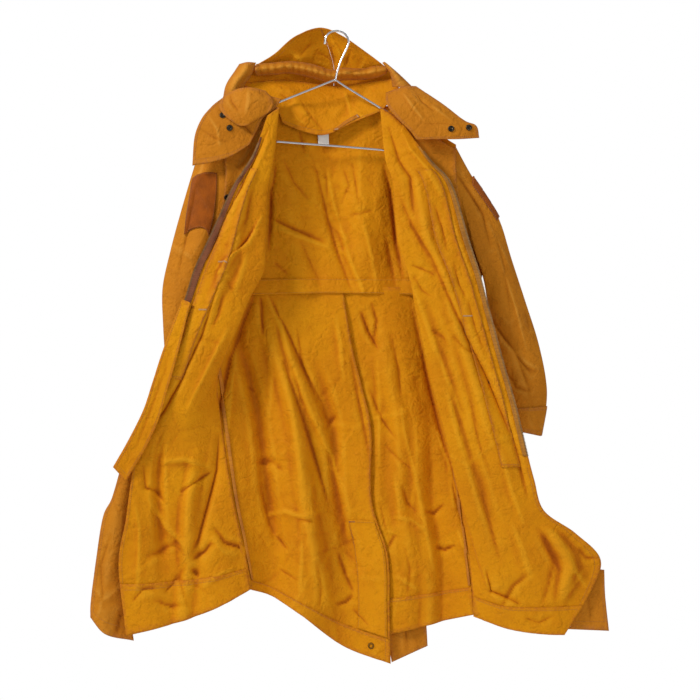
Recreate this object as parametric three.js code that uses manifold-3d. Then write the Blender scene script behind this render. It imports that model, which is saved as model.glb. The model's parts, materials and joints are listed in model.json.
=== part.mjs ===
// A hooded canvas parka hung open on a wire hanger. Millimetres, +Z up, the front faces -Y, +X is the
// wearer's left. The origin is the inner top of the hanger's hook, where a rail or peg carries the whole.
import * as THREE from "three";
import Module from "manifold-3d";
import { mergeVertices } from "three/addons/utils/BufferGeometryUtils.js";

// Driving sizes
const CLOTH = 1.5; // wall of one layer of crumpled canvas
const DOUBLE = 2.4; // collar, cuffs and other two-layer pieces
const OVERLAY = 1.2; // strips, patches and bands sewn on a panel
const LIFT = 2.1; // middle of a sewn-on piece above the middle of its panel
const CURVED_LIFT = 3.1; // the same for a piece that is skewed to its panel's facets
const WIRE = 2; // radius of the hanger's wire
const WIRE_SIDES = 8;
const SNAP = { radius: 5.5, height: 2.4 };
const EYELET = { outer: 6, inner: 3, height: 1.6 };
const SLEEVE = { front: 13, back: 17, edge: 2 }; // half depths at the armhole, and the sleeve's edge crease
const GAP = 3; // from an armhole to its sleeve
const CUFF_TOP = 0.9; // where a cuff starts, as a share of the sleeve's length
const SNAP_SIDES = 12;
const LABEL = { lift: 6, thick: 1 }; // the care label hangs free of the back

const COLOURS = { inside: 0xc27a10, outside: 0xb5701f, patch: 0x8f4304, tape: 0xb06a4a, steel: 0xd8d8da,
  gunmetal: 0x35302c, label: 0xf1efe8 };

// ---- curves and surfaces ----------------------------------------------------------------------

const mix = (a, b, t) => a + (b - a) * t;
const steps = (from, to, count) => Array.from({ length: count + 1 }, (_, k) => mix(from, to, k / count));
// How a flattened sleeve or armhole bulges between its two creases.
const swell = (t) => Math.sin(Math.PI * t) ** 0.8;

// Uniform Catmull-Rom through a list of [x, y, z], at t from 0 to 1, with straight ends.
function through(points, t) {
  const last = points.length - 1;
  const at = Math.min(Math.max(t, 0), 1) * last;
  const i = Math.min(Math.floor(at), last - 1);
  const s = at - i;
  const get = (k) => {
    if (k < 0) return points[0].map((v, c) => 2 * v - points[1][c]);
    if (k > last) return points[last].map((v, c) => 2 * v - points[last - 1][c]);
    return points[k];
  };
  const [a, b, c, d] = [get(i - 1), get(i), get(i + 1), get(i + 2)];
  return b.map((v, k) => 0.5 * (2 * v + (c[k] - a[k]) * s + (2 * a[k] - 5 * v + 4 * c[k] - d[k]) * s * s
    + (3 * v - a[k] - 3 * c[k] + d[k]) * s * s * s));
}

// Push of one fold at (u, v): a soft trough (depth above 0) or ridge that fades at both of its ends.
function foldPush(fold, u, v) {
  if (v < fold.from || v > fold.until) return 0;
  const t = (v - fold.from) / (fold.until - fold.from);
  const off = Math.abs(u - mix(fold.at, fold.to, t)) / fold.width;
  if (off >= 1) return 0;
  const start = fold.from <= 0 ? 1 : Math.min(1, t * 4);
  const end = fold.until >= 1 ? 1 : Math.min(1, (1 - t) * 4);
  return fold.depth * Math.cos((off * Math.PI) / 2) ** 2 * start * end;
}

// A cloth sheet through its sections, top to bottom; u runs across a section, v down the sections. The
// grid [across, down] is how finely its solid is faceted.
function sheet(grid, sections, folds = []) {
  const rows = sections.map((s) => s.x.map((x, k) => [x, s.y[k], s.z[k]]));
  const at = (u, v) => {
    const p = through(rows.map((row) => through(row, u)), v);
    p[1] += folds.reduce((sum, fold) => sum + foldPush(fold, u, v), 0);
    return new THREE.Vector3(...p);
  };
  return faceted({ at, grid });
}

// A flattened sleeve through its rings. a runs round a ring: outer crease, front, inner crease, back.
function sleeve(grid, rings, folds = []) {
  const ringPoint = (ring, a) => {
    const front = a < 0.5;
    const t = front ? 2 * a : 2 - 2 * a;
    const side = front ? -(SLEEVE.edge + ring.front * swell(t)) : SLEEVE.edge + ring.back * swell(t);
    const x = mix(ring.outer[0], ring.inner[0], t) + ring.bow * Math.sin(Math.PI * t);
    return [x, ring.y + side, mix(ring.outer[1], ring.inner[1], t)];
  };
  const at = (turn, v) => {
    const a = ((turn % 1) + 1) % 1;
    const p = through(rings.map((ring) => ringPoint(ring, a)), v);
    p[1] += folds.reduce((sum, fold) => sum + foldPush(fold, a, v), 0);
    return new THREE.Vector3(...p);
  };
  return faceted({ at, grid, round: true });
}

// The normal of a surface as its facets see it, from points about a facet apart.
const NORMAL_REACH = 0.6;
function normalAt(surface, u, v) {
  const [s, t] = surface.grid.map((count) => NORMAL_REACH / count);
  const clamp = (w) => (surface.round ? w : Math.min(Math.max(w, 0), 1));
  const du = surface.at(clamp(u + s), v).sub(surface.at(clamp(u - s), v));
  const dv = surface.at(u, Math.min(v + t, 1)).sub(surface.at(u, Math.max(v - t, 0)));
  return du.cross(dv).normalize();
}

// Adds the surface's own grid of points and normals, and on(u, v): the point and normal on its facets.
function faceted(surface) {
  const [across, down] = surface.grid;
  const knots = [];
  for (let j = 0; j <= down; j++)
    for (let i = 0; i <= across; i++) {
      const [u, v] = [i / across, j / down];
      knots.push({ p: surface.at(u, v), n: normalAt(surface, u, v) });
    }
  surface.on = (u, v) => {
    const turn = surface.round ? ((u % 1) + 1) % 1 : u;
    const i = Math.min(Math.floor(turn * across + 1e-9), across - 1);
    const j = Math.min(Math.floor(v * down + 1e-9), down - 1);
    const [s, t] = [turn * across - i, v * down - j];
    const [a, b] = [knots[j * (across + 1) + i], knots[j * (across + 1) + i + 1]];
    const [d, c] = [knots[(j + 1) * (across + 1) + i], knots[(j + 1) * (across + 1) + i + 1]];
    const shares = s > t ? [1 - s, s - t, t, 0] : [1 - t, 0, s, t - s];
    const blend = (key) => [a, b, c, d].reduce(
      (sum, knot, k) => sum.addScaledVector(knot[key], shares[k]), new THREE.Vector3());
    return { p: blend("p"), n: blend("n").normalize() };
  };
  return surface;
}

function faces(positions, triangles) {
  let volume = 0;
  for (const [a, b, c] of triangles)
    volume += positions[a].dot(new THREE.Vector3().crossVectors(positions[b], positions[c]));
  const geometry = new THREE.BufferGeometry();
  geometry.setAttribute("position", new THREE.Float32BufferAttribute(positions.flatMap((p) => p.toArray()), 3));
  geometry.setIndex(triangles.flatMap(([a, b, c]) => (volume < 0 ? [a, c, b] : [a, b, c])));
  return geometry;
}

// The surface's own grid lines between two shares, with the two ends.
function lines(from, to, count) {
  const inner = steps(0, 1, count).filter((s) => s > from + 0.01 / count && s < to - 0.01 / count);
  return [from, ...inner, to];
}

// A wall of even thickness on the net of points spot(i, j), each { p, n }, lifted along the normals.
function wall(spot, columns, rows, { thick = CLOTH, lift = 0, round = false } = {}) {
  const points = [];
  for (const side of [0.5, -0.5])
    for (let j = 0; j < rows; j++)
      for (let i = 0; i < columns; i++) {
        const { p, n } = spot(i, j);
        points.push(p.clone().addScaledVector(n, lift + side * thick));
      }
  const layer = columns * rows;
  const id = (side, i, j) => side * layer + j * columns + (i % columns);
  const triangles = [];
  const quad = (a, b, c, d) => triangles.push([a, b, c], [a, c, d]);
  const [across, down] = [round ? columns : columns - 1, rows - 1];
  for (let j = 0; j < down; j++)
    for (let i = 0; i < across; i++) {
      quad(id(0, i, j), id(0, i + 1, j), id(0, i + 1, j + 1), id(0, i, j + 1));
      const back = [id(1, i, j), id(1, i + 1, j), id(1, i + 1, j + 1), id(1, i, j + 1)];
      triangles.push([back[0], back[2], back[1]], [back[0], back[3], back[2]]);
    }
  for (let i = 0; i < across; i++) {
    quad(id(0, i + 1, 0), id(0, i, 0), id(1, i, 0), id(1, i + 1, 0));
    quad(id(0, i, down), id(0, i + 1, down), id(1, i + 1, down), id(1, i, down));
  }
  for (let j = 0; !round && j < down; j++) {
    quad(id(0, 0, j), id(0, 0, j + 1), id(1, 0, j + 1), id(1, 0, j));
    quad(id(0, across, j + 1), id(0, across, j), id(1, across, j), id(1, across, j + 1));
  }
  return faces(points, triangles);
}

// The wall of a stretch of a surface, on the surface's own facets.
function panel(surface, [u0, u1, v0, v1] = [0, 1, 0, 1], options = {}) {
  const [across, down] = surface.grid;
  const round = surface.round && u1 - u0 === 1;
  const us = round ? steps(0, 1, across).slice(0, -1) : lines(u0, u1, across);
  const vs = lines(v0, v1, down);
  return wall((i, j) => surface.on(us[i], vs[j]), us.length, vs.length, { ...options, round });
}

// The wall of a skewed patch with four corners [u, v] on a surface.
function patch(surface, [a, b, c, d], [across, down], options) {
  const spot = (i, j) => {
    const [s, t] = [i / across, j / down];
    const at = (k) => mix(mix(a[k], b[k], s), mix(d[k], c[k], s), t);
    return surface.on(at(0), at(1));
  };
  return wall(spot, across + 1, down + 1, options);
}

// ---- the armholes, shared by the body panels and the sleeves ------------------------------------

const ARMHOLE = {
  right: { top: [-214, -160], pit: [-254, -428], bow: 32 },
  left: { top: [208, -206], pit: [254, -425], bow: -14 },
};
const armX = (side, t) => {
  const hole = ARMHOLE[side];
  return mix(hole.top[0], hole.pit[0], t) + hole.bow * Math.sin(Math.PI * t);
};
const armZ = (side, t) => mix(ARMHOLE[side].top[1], ARMHOLE[side].pit[1], t);
const armFront = (t) => -SLEEVE.edge - SLEEVE.front * swell(t);
const armBack = (t) => SLEEVE.edge + SLEEVE.back * swell(t);

// ---- back ---------------------------------------------------------------------------------------

// Stations across: right side, right fold, spine, left fold, left side. The armhole share sets both sides.
const backRow = (share, mid) => ({
  x: [armX("right", share), mid.x[0], mid.x[1], mid.x[2], armX("left", share)],
  y: [armBack(share), mid.y[0], mid.y[1], mid.y[2], armBack(share)],
  z: [armZ("right", share), mid.z[0], mid.z[1], mid.z[2], armZ("left", share)],
});
const backUpper = sheet([12, 8], [
  backRow(0, { x: [-128, -12, 100], y: [13, 28, 13], z: [-126, -148, -142] }),
  backRow(0.25, { x: [-116, -12, 92], y: [18, 26, 18], z: [-208, -214, -216] }),
  backRow(0.5, { x: [-112, -10, 90], y: [22, 28, 22], z: [-286, -288, -290] }),
  backRow(0.75, { x: [-114, -8, 95], y: [26, 33, 26], z: [-358, -358, -358] }),
  backRow(1, { x: [-116, -4, 100], y: [26, 34, 26], z: [-424, -424, -424] }),
  { x: [-246, -120, 0, 105, 243], y: [5, 24, 30, 24, 5], z: [-476, -472, -470, -472, -476] },
], [
  { at: 0.46, to: 0.56, from: 0.0, until: 0.8, width: 0.07, depth: 6 },
  { at: 0.62, to: 0.64, from: 0.1, until: 0.9, width: 0.07, depth: -6 },
  { at: 0.3, to: 0.36, from: 0.3, until: 1, width: 0.09, depth: -7 },
  { at: 0.78, to: 0.74, from: 0.2, until: 1, width: 0.08, depth: 7 },
]);

// The skirt of the back is two tails; the right tail laps over the left one along the vent.
const tailRight = sheet([12, 14], [
  { x: [-247, -182, -117, -53, 9], y: [9, 24, 30, 33, 35], z: [-468, -466, -464, -463, -462] },
  { x: [-232, -168, -104, -40, 26], y: [10, 30, 24, 30, 30], z: [-560, -562, -564, -566, -568] },
  { x: [-222, -155, -87, -20, 44], y: [12, 34, 22, 34, 32], z: [-625, -630, -634, -638, -642] },
  { x: [-212, -144, -76, -8, 60], y: [13, 34, 20, 36, 30], z: [-700, -706, -712, -716, -718] },
  { x: [-193, -130, -68, -4, 61], y: [13, 36, 16, 38, 26], z: [-836, -840, -843, -845, -846] },
  { x: [-176, -120, -58, 10, 90], y: [12, 38, 10, 36, 18], z: [-914, -924, -934, -940, -944] },
  { x: [-165, -118, -56, 16, 93], y: [10, 38, 6, 34, 14], z: [-968, -985, -1008, -1030, -1050] },
  { x: [-158, -119, -66, 8, 95], y: [8, 34, 4, 30, 12], z: [-1004, -1019, -1050, -1108, -1138] },
], [
  { at: 0.2, to: 0.3, from: 0.05, until: 0.75, width: 0.08, depth: 12 },
  { at: 0.42, to: 0.62, from: 0.03, until: 0.95, width: 0.09, depth: -12 },
  { at: 0.7, to: 0.8, from: 0.15, until: 0.8, width: 0.08, depth: 10 },
]);
const tailLeft = sheet([7, 12], [
  { x: [-2, 74, 145, 245], y: [39, 34, 30, 9], z: [-462, -464, -466, -468] },
  { x: [14, 84, 150, 228], y: [37, 26, 34, 9], z: [-568, -568, -566, -562] },
  { x: [46, 104, 160, 213], y: [39, 22, 38, 9], z: [-700, -702, -702, -700] },
  { x: [48, 106, 164, 214], y: [39, 22, 40, 10], z: [-780, -781, -780, -778] },
  { x: [48, 106, 168, 222], y: [38, 20, 40, 10], z: [-846, -846, -845, -842] },
  { x: [72, 124, 186, 236], y: [32, 16, 36, 9], z: [-960, -958, -956, -950] },
  { x: [76, 130, 188, 247], y: [27, 14, 32, 8], z: [-1090, -1078, -1064, -1049] },
], [
  { at: 0.2, to: 0.3, from: 0.1, until: 0.9, width: 0.14, depth: 9 },
  { at: 0.6, to: 0.55, from: 0.25, until: 1, width: 0.13, depth: -9 },
]);
const ventUnderlap = sheet([3, 3], [
  { x: [86, 120, 156], y: [28, 26, 28], z: [-1040, -1036, -1030] },
  { x: [90, 124, 160], y: [26, 23, 26], z: [-1090, -1082, -1072] },
  { x: [97, 130, 162], y: [22, 20, 24], z: [-1137, -1122, -1108] },
]);

// ---- fronts -------------------------------------------------------------------------------------

// Stations across: side seam, under layer, roll line, turned-out layer, zip edge. Above the waist each
// front rolls back on itself and shows its inside; below, it lies open in one layer.
const topRow = (side, share, row) => ({
  x: [armX(side, share), ...row.x],
  y: [armFront(share), ...row.y],
  z: [armZ(side, share), ...row.z],
});
const frontRight = sheet([14, 20], [
  topRow("right", 0.02, { x: [-165, -108, -116, -126], y: [-7, -17, -25, -28], z: [-142, -138, -146, -154] }),
  topRow("right", 0.25, { x: [-170, -116, -130, -151], y: [-9, -24, -35, -36], z: [-232, -228, -226, -223] }),
  topRow("right", 0.48, { x: [-174, -126, -152, -186], y: [-11, -27, -40, -38], z: [-290, -285, -284, -282] }),
  topRow("right", 0.7, { x: [-182, -129, -166, -213], y: [-11, -29, -44, -40], z: [-345, -344, -342, -338] }),
  topRow("right", 0.9, { x: [-190, -130, -176, -236], y: [-11, -31, -46, -42], z: [-396, -394, -392, -388] }),
  { x: [-251, -194, -134, -188, -256], y: [-1, -10, -32, -47, -43], z: [-438, -436, -434, -432, -430] },
  { x: [-243, -202, -160, -212, -272], y: [1, -8, -32, -46, -41], z: [-490, -488, -484, -483, -482] },
  { x: [-233, -212, -187, -240, -294], y: [5, -6, -30, -42, -38], z: [-552, -550, -547, -546, -545] },
  { x: [-222, -216, -223, -268, -315], y: [7, -8, -26, -38, -36], z: [-622, -620, -618, -617, -615] },
  { x: [-214, -228, -258, -298, -336], y: [8, -4, -24, -32, -32], z: [-686, -684, -682, -680, -677] },
  { x: [-207, -242, -284, -324, -360], y: [9, -2, -16, -26, -28], z: [-744, -742, -740, -738, -735] },
  { x: [-198, -243, -290, -334, -370], y: [9, 0, -14, -22, -30], z: [-808, -810, -811, -811, -810] },
  { x: [-187, -238, -290, -338, -379], y: [9, -6, -10, -22, -32], z: [-868, -871, -874, -876, -877] },
  { x: [-169, -225, -283, -340, -392], y: [8, -10, -4, -24, -30], z: [-948, -954, -957, -958, -956] },
  { x: [-158, -221, -280, -332, -379], y: [5, -12, -2, -24, -26], z: [-1004, -1037, -1059, -1073, -1084] },
], [
  { at: 0.8, to: 0.78, from: 0.1, until: 0.5, width: 0.07, depth: -6 },
  { at: 0.3, to: 0.5, from: 0.72, until: 1, width: 0.1, depth: -12 },
  { at: 0.72, to: 0.62, from: 0.68, until: 0.96, width: 0.09, depth: 10 },
]);
const frontLeft = sheet([14, 20], [
  topRow("left", 0.02, { x: [150, 78, 97, 119], y: [-7, -13, -18, -20], z: [-176, -139, -152, -172] }),
  topRow("left", 0.2, { x: [158, 86, 120, 166], y: [-9, -22, -31, -29], z: [-236, -230, -231, -236] }),
  topRow("left", 0.36, { x: [166, 99, 142, 203], y: [-11, -26, -37, -33], z: [-284, -276, -276, -278] }),
  topRow("left", 0.77, { x: [180, 108, 160, 232], y: [-12, -28, -41, -37], z: [-378, -374, -374, -374] }),
  { x: [250, 190, 128, 186, 254], y: [-1, -10, -28, -42, -38], z: [-448, -447, -444, -443, -442] },
  { x: [236, 192, 141, 206, 272], y: [1, -8, -28, -42, -38], z: [-515, -512, -508, -508, -510] },
  { x: [221, 196, 160, 228, 294], y: [3, -6, -28, -40, -38], z: [-595, -592, -590, -590, -590] },
  { x: [212, 200, 179, 248, 315], y: [4, -6, -27, -39, -38], z: [-668, -666, -664, -664, -664] },
  { x: [211, 206, 198, 266, 332], y: [5, -8, -26, -38, -38], z: [-738, -736, -733, -733, -733] },
  { x: [216, 214, 216, 285, 350], y: [5, -9, -25, -36, -38], z: [-806, -805, -803, -803, -803] },
  { x: [224, 226, 232, 300, 368], y: [5, -9, -25, -36, -36], z: [-862, -861, -859, -859, -859] },
  { x: [231, 238, 248, 324, 408], y: [5, -8, -25, -34, -30], z: [-905, -905, -905, -902, -897] },
  { x: [238, 250, 266, 362, 470], y: [4, -8, -26, -32, -28], z: [-950, -952, -955, -954, -948] },
  { x: [243, 266, 292, 372, 450], y: [2, -14, -28, -30, -30], z: [-1000, -1006, -1012, -1012, -1008] },
  { x: [247, 301, 345, 378, 405], y: [0, -16, -26, -28, -28], z: [-1053, -1071, -1078, -1081, -1082] },
], [
  { at: 0.74, to: 0.78, from: 0.08, until: 0.62, width: 0.06, depth: -6 },
  { at: 0.9, to: 0.84, from: 0.76, until: 0.95, width: 0.05, depth: -10 },
  { at: 0.62, to: 0.66, from: 0.3, until: 0.8, width: 0.06, depth: 6 },
]);
const stormFlap = sheet([2, 10], [
  { x: [-277, -262], y: [-47, -50], z: [-482, -488] },
  { x: [-311, -284], y: [-46, -49], z: [-572, -578] },
  { x: [-330, -302], y: [-44, -46], z: [-630, -640] },
  { x: [-347, -318], y: [-42, -42], z: [-680, -694] },
  { x: [-374, -345], y: [-40, -38], z: [-734, -752] },
  { x: [-401, -378], y: [-38, -36], z: [-781, -806] },
]);
const placketRight = sheet([6, 10], [
  { x: [-394, -381, -362], y: [-14, -18, -4], z: [-812, -816, -822] },
  { x: [-407, -391, -366], y: [-18, -22, -2], z: [-842, -850, -856] },
  { x: [-425, -398, -370], y: [-18, -24, 0], z: [-869, -878, -884] },
  { x: [-434, -408, -374], y: [-16, -24, 2], z: [-950, -952, -960] },
  { x: [-443, -416, -376], y: [-14, -22, 3], z: [-1022, -1026, -1034] },
  { x: [-446, -420, -372], y: [-12, -18, 4], z: [-1058, -1084, -1091] },
]);
const placketLeft = sheet([3, 5], [
  { x: [436, 477], y: [-21, -19], z: [-962, -966] },
  { x: [425, 478], y: [-21, -18], z: [-1000, -1000] },
  { x: [410, 480], y: [-20, -17], z: [-1028, -1024] },
  { x: [392, 486], y: [-19, -16], z: [-1072, -1076] },
]);

// ---- sleeves ------------------------------------------------------------------------------------

const sleeveRight = sleeve([12, 12], [
  { outer: [-214 - GAP, -160], inner: [-254 - GAP, -428], bow: 32, y: 0, front: 13, back: 17 },
  { outer: [-246, -205], inner: [-262, -446], bow: 26, y: 3, front: 16, back: 20 },
  { outer: [-265, -262], inner: [-266, -468], bow: 18, y: 8, front: 18, back: 22 },
  { outer: [-284, -325], inner: [-268, -495], bow: 10, y: 14, front: 18, back: 24 },
  { outer: [-302, -392], inner: [-268, -530], bow: 4, y: 20, front: 18, back: 26 },
  { outer: [-317, -460], inner: [-266, -570], bow: 0, y: 24, front: 18, back: 26 },
  { outer: [-316, -530], inner: [-263, -615], bow: 0, y: 26, front: 18, back: 24 },
  { outer: [-312, -600], inner: [-260, -660], bow: 0, y: 28, front: 18, back: 24 },
  { outer: [-311, -670], inner: [-258, -700], bow: 0, y: 28, front: 18, back: 22 },
  { outer: [-310, -740], inner: [-256, -736], bow: 0, y: 28, front: 18, back: 22 },
]);
const sleeveLeft = sleeve([12, 12], [
  { outer: [208 + GAP, -206], inner: [254 + GAP, -425], bow: -14, y: 0, front: 13, back: 17 },
  { outer: [236, -252], inner: [262, -442], bow: -9, y: 3, front: 15, back: 20 },
  { outer: [264, -294], inner: [266, -462], bow: -5, y: 7, front: 16, back: 22 },
  { outer: [292, -342], inner: [270, -488], bow: 0, y: 11, front: 17, back: 24 },
  { outer: [314, -412], inner: [274, -520], bow: 0, y: 14, front: 18, back: 26 },
  { outer: [338, -486], inner: [279, -560], bow: 0, y: 16, front: 18, back: 26 },
  { outer: [360, -556], inner: [285, -602], bow: 0, y: 18, front: 18, back: 24 },
  { outer: [374, -622], inner: [289, -645], bow: 0, y: 18, front: 17, back: 22 },
  { outer: [376, -668], inner: [291, -676], bow: 0, y: 18, front: 16, back: 20 },
  { outer: [366, -728], inner: [292, -712], bow: 0, y: 18, front: 15, back: 18 },
]);

// ---- collar and hood ----------------------------------------------------------------------------

const wingRight = sheet([7, 7], [
  { x: [-209, -173, -138, -102], y: [2, -10, -14, -6], z: [-120, -116, -114, -122] },
  { x: [-226, -186, -146, -112], y: [-20, -24, -24, -22], z: [-137, -138, -138, -139] },
  { x: [-244, -204, -168, -134], y: [-28, -31, -31, -27], z: [-160, -162, -162, -158] },
  { x: [-256, -218, -182, -146], y: [-30, -33, -30, -24], z: [-192, -194, -190, -182] },
  { x: [-260, -224, -190, -158], y: [-30, -34, -32, -26], z: [-243, -237, -226, -205] },
]);
const wingLeft = sheet([7, 7], [
  { x: [86, 104, 122, 140], y: [2, -6, -8, 2], z: [-110, -104, -99, -98] },
  { x: [88, 120, 152, 186], y: [-24, -30, -32, -24], z: [-134, -131, -130, -132] },
  { x: [106, 146, 186, 226], y: [-34, -38, -38, -30], z: [-159, -158, -160, -163] },
  { x: [128, 168, 208, 247], y: [-38, -42, -42, -34], z: [-181, -178, -176, -173] },
  { x: [140, 177, 214, 252], y: [-38, -43, -42, -34], z: [-197, -197, -197, -194] },
]);
const collarLobe = sheet([6, 6], [
  { x: [-205, -180, -155, -130], y: [-6, -20, -24, -14], z: [-116, -105, -103, -108] },
  { x: [-213, -184, -154, -124], y: [-24, -34, -36, -24], z: [-132, -126, -122, -124] },
  { x: [-196, -176, -156, -136], y: [-36, -40, -38, -30], z: [-151, -150, -148, -144] },
  { x: [-178, -170, -162, -154], y: [-38, -40, -39, -34], z: [-172, -173, -172, -166] },
]);
// The stand of the hood rises from the neck seam to the gathered channel; its lower edge hangs loose.
const hoodStand = sheet([12, 6], [
  { x: [-178, -96, -8, 50, 110], y: [22, 38, 44, 38, 22], z: [-90, -82, -92, -86, -80] },
  { x: [-146, -88, -10, 50, 108], y: [14, 26, 34, 28, 14], z: [-108, -106, -112, -108, -104] },
  { x: [-112, -74, -14, 42, 92], y: [6, 14, 19, 14, 6], z: [-138, -140, -146, -138, -126] },
  { x: [-99, -64, -22, 30, 78], y: [5, 7, 9, 7, 5], z: [-164, -178, -184, -161, -142] },
], [
  { at: 0.2, to: 0.35, from: 0.1, until: 0.9, width: 0.12, depth: -5 },
  { at: 0.7, to: 0.6, from: 0.2, until: 0.9, width: 0.1, depth: 5 },
]);
const hoodCrown = sheet([12, 10], [
  { x: [-58, -44, -32, -20, -10], y: [26, 29, 30, 29, 26], z: [5, 10, 12, 10, 6] },
  { x: [-80, -55, -24, -2, 17], y: [24, 38, 44, 38, 24], z: [-11, -8, -6, -8, -11] },
  { x: [-112, -66, -14, 20, 52], y: [22, 46, 56, 46, 22], z: [-37, -34, -32, -34, -35] },
  { x: [-146, -84, -8, 38, 78], y: [22, 52, 64, 52, 22], z: [-56, -56, -56, -56, -54] },
  { x: [-176, -98, -8, 50, 104], y: [26, 56, 66, 56, 27], z: [-72, -78, -80, -78, -74] },
  { x: [-184, -100, -8, 54, 120], y: [30, 50, 58, 50, 30], z: [-98, -102, -106, -102, -94] },
], [
  { at: 0.62, to: 0.56, from: 0.1, until: 0.9, width: 0.1, depth: -6 },
  { at: 0.3, to: 0.24, from: 0.3, until: 0.9, width: 0.12, depth: -6 },
]);
// The gathered channel across the hood: a soft roll, its sections run from right to left.
const hoodChannel = sheet([4, 14], [
  { x: [-148, -150, -148], y: [16, 8, 18], z: [-56, -66, -76] },
  { x: [-116, -116, -116], y: [26, 10, 24], z: [-52, -63, -74] },
  { x: [-86, -86, -86], y: [30, 12, 28], z: [-49, -60, -71] },
  { x: [-50, -50, -50], y: [32, 12, 32], z: [-53, -66, -78] },
  { x: [-12, -12, -12], y: [35, 15, 35], z: [-64, -76, -88] },
  { x: [8, 8, 8], y: [34, 12, 34], z: [-60, -72, -83] },
  { x: [42, 42, 42], y: [32, 12, 32], z: [-62, -73, -82] },
  { x: [70, 70, 70], y: [26, 10, 26], z: [-58, -69, -79] },
  { x: [86, 88, 88], y: [22, 13, 22], z: [-60, -66, -72] },
]);
const hoodRimRight = sheet([4, 5], [
  { x: [-176, -164, -152], y: [14, 2, 8], z: [-58, -57, -57] },
  { x: [-186, -172, -157], y: [14, -4, 8], z: [-68, -74, -78] },
  { x: [-202, -188, -174], y: [12, -6, 6], z: [-94, -92, -90] },
  { x: [-209, -198, -186], y: [10, 0, 6], z: [-114, -108, -103] },
]);
const hoodRimLeft = sheet([3, 4], [
  { x: [80, 83, 86], y: [10, 8, 12], z: [-54, -53, -54] },
  { x: [94, 101, 109], y: [6, 2, 10], z: [-74, -72, -74] },
  { x: [101, 118, 138], y: [6, 0, 8], z: [-90, -92, -96] },
]);

// ---- hardware -----------------------------------------------------------------------------------

const wasm = await Module();
wasm.setup();

function solid(geometry) {
  const bare = geometry.clone();
  bare.deleteAttribute("normal");
  bare.deleteAttribute("uv");
  const merged = mergeVertices(bare, 1e-4);
  return new wasm.Manifold(new wasm.Mesh({
    numProp: 3,
    vertProperties: new Float32Array(merged.attributes.position.array),
    triVerts: new Uint32Array(merged.index.array),
  }));
}

function fromSolid(made) {
  const mesh = made.getMesh();
  const geometry = new THREE.BufferGeometry();
  geometry.setAttribute("position", new THREE.BufferAttribute(mesh.vertProperties, 3));
  geometry.setIndex(new THREE.BufferAttribute(mesh.triVerts, 1));
  return geometry;
}

// Wire along a flat route of [x, z] points in the plane y = 0.
function wire(route, steps) {
  const turn = (2 * Math.PI) / WIRE_SIDES;
  const corner = (k) => new THREE.Vector2(WIRE * Math.cos(k * turn), WIRE * Math.sin(k * turn));
  const section = new THREE.Shape(Array.from({ length: WIRE_SIDES }, (_, k) => corner(k)));
  const points = route.map(([x, z]) => new THREE.Vector3(x, 0, z));
  const path = new THREE.CatmullRomCurve3(points, false, "centripetal");
  return new THREE.ExtrudeGeometry(section, { steps, bevelEnabled: false, extrudePath: path });
}

function hangerGeometry() {
  const hook = [[-24, -22], [-21.5, -9], [-14, -1], [-1, 2], [10, -1.5], [17, -9], [19, -19], [14, -33],
    [5, -52], [-1, -70], [-5, -88]];
  const rightArm = [[-5, -86], [-20, -92], [-100, -124], [-186, -159], [-197, -168], [-199, -178], [-192, -188],
    [-180, -191], [-90, -199], [4, -206]];
  const leftArm = [[-5, -86], [8, -95], [75, -136], [175, -197], [188, -208], [189, -216], [182, -222],
    [170, -221], [86, -213], [-2, -205.5]];
  const junction = new THREE.SphereGeometry(WIRE * 1.35, 10, 8).translate(-5, 0, -87);
  const joined = solid(wire(hook, 26)).add(solid(wire(rightArm, 26))).add(solid(wire(leftArm, 26)))
    .add(solid(junction));
  return fromSolid(joined);
}

// A revolved metal piece with its axis along +Y and its back face at the origin.
function turned(profile, sides) {
  return new THREE.LatheGeometry(profile.map(([r, h]) => new THREE.Vector2(r, h)), sides);
}

const snapProfile = [[0, 0], [SNAP.radius, 0], [SNAP.radius, SNAP.height * 0.55],
  [SNAP.radius * 0.7, SNAP.height], [SNAP.radius * 0.45, SNAP.height * 0.7], [0, SNAP.height * 0.7]];
const eyeletProfile = [[EYELET.inner, 0], [EYELET.outer, 0], [EYELET.outer * 0.95, EYELET.height * 0.7],
  [EYELET.inner * 1.3, EYELET.height], [EYELET.inner, EYELET.height * 0.6], [EYELET.inner, 0]];

// ---- the scene graph ----------------------------------------------------------------------------

const garment = new THREE.Group();

function add(name, geometry, colour, roughness = 0.85, metalness = 0) {
  const material = new THREE.MeshStandardMaterial({ color: colour, roughness, metalness });
  const mesh = new THREE.Mesh(geometry, material);
  mesh.name = name;
  garment.add(mesh);
  return mesh;
}

// Which way a surface's own normal must be lifted to stand off on the viewer's side (-Y).
const towardsFront = (surface, u, v) => (surface.on(u, v).n.y > 0 ? -1 : 1);

// A strip or band sewn on a panel, made from the panel's own points, moved out.
function sewn(name, surface, [u0, u1, v0, v1], colour, { lift = LIFT, thick = OVERLAY } = {}) {
  const side = towardsFront(surface, mix(u0, u1, 0.5), mix(v0, v1, 0.5));
  add(name, panel(surface, [u0, u1, v0, v1], { thick, lift: side * lift }), colour);
}

// The stretch of a sheet's lowest facets from one column to another: a turned-up hem or a channel.
const lastRow = ({ grid: [across, down] }, from, to) => [from / across, to / across, 1 - 1 / down, 1];

add("hanger", hangerGeometry(), COLOURS.steel, 0.2, 1);

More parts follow.
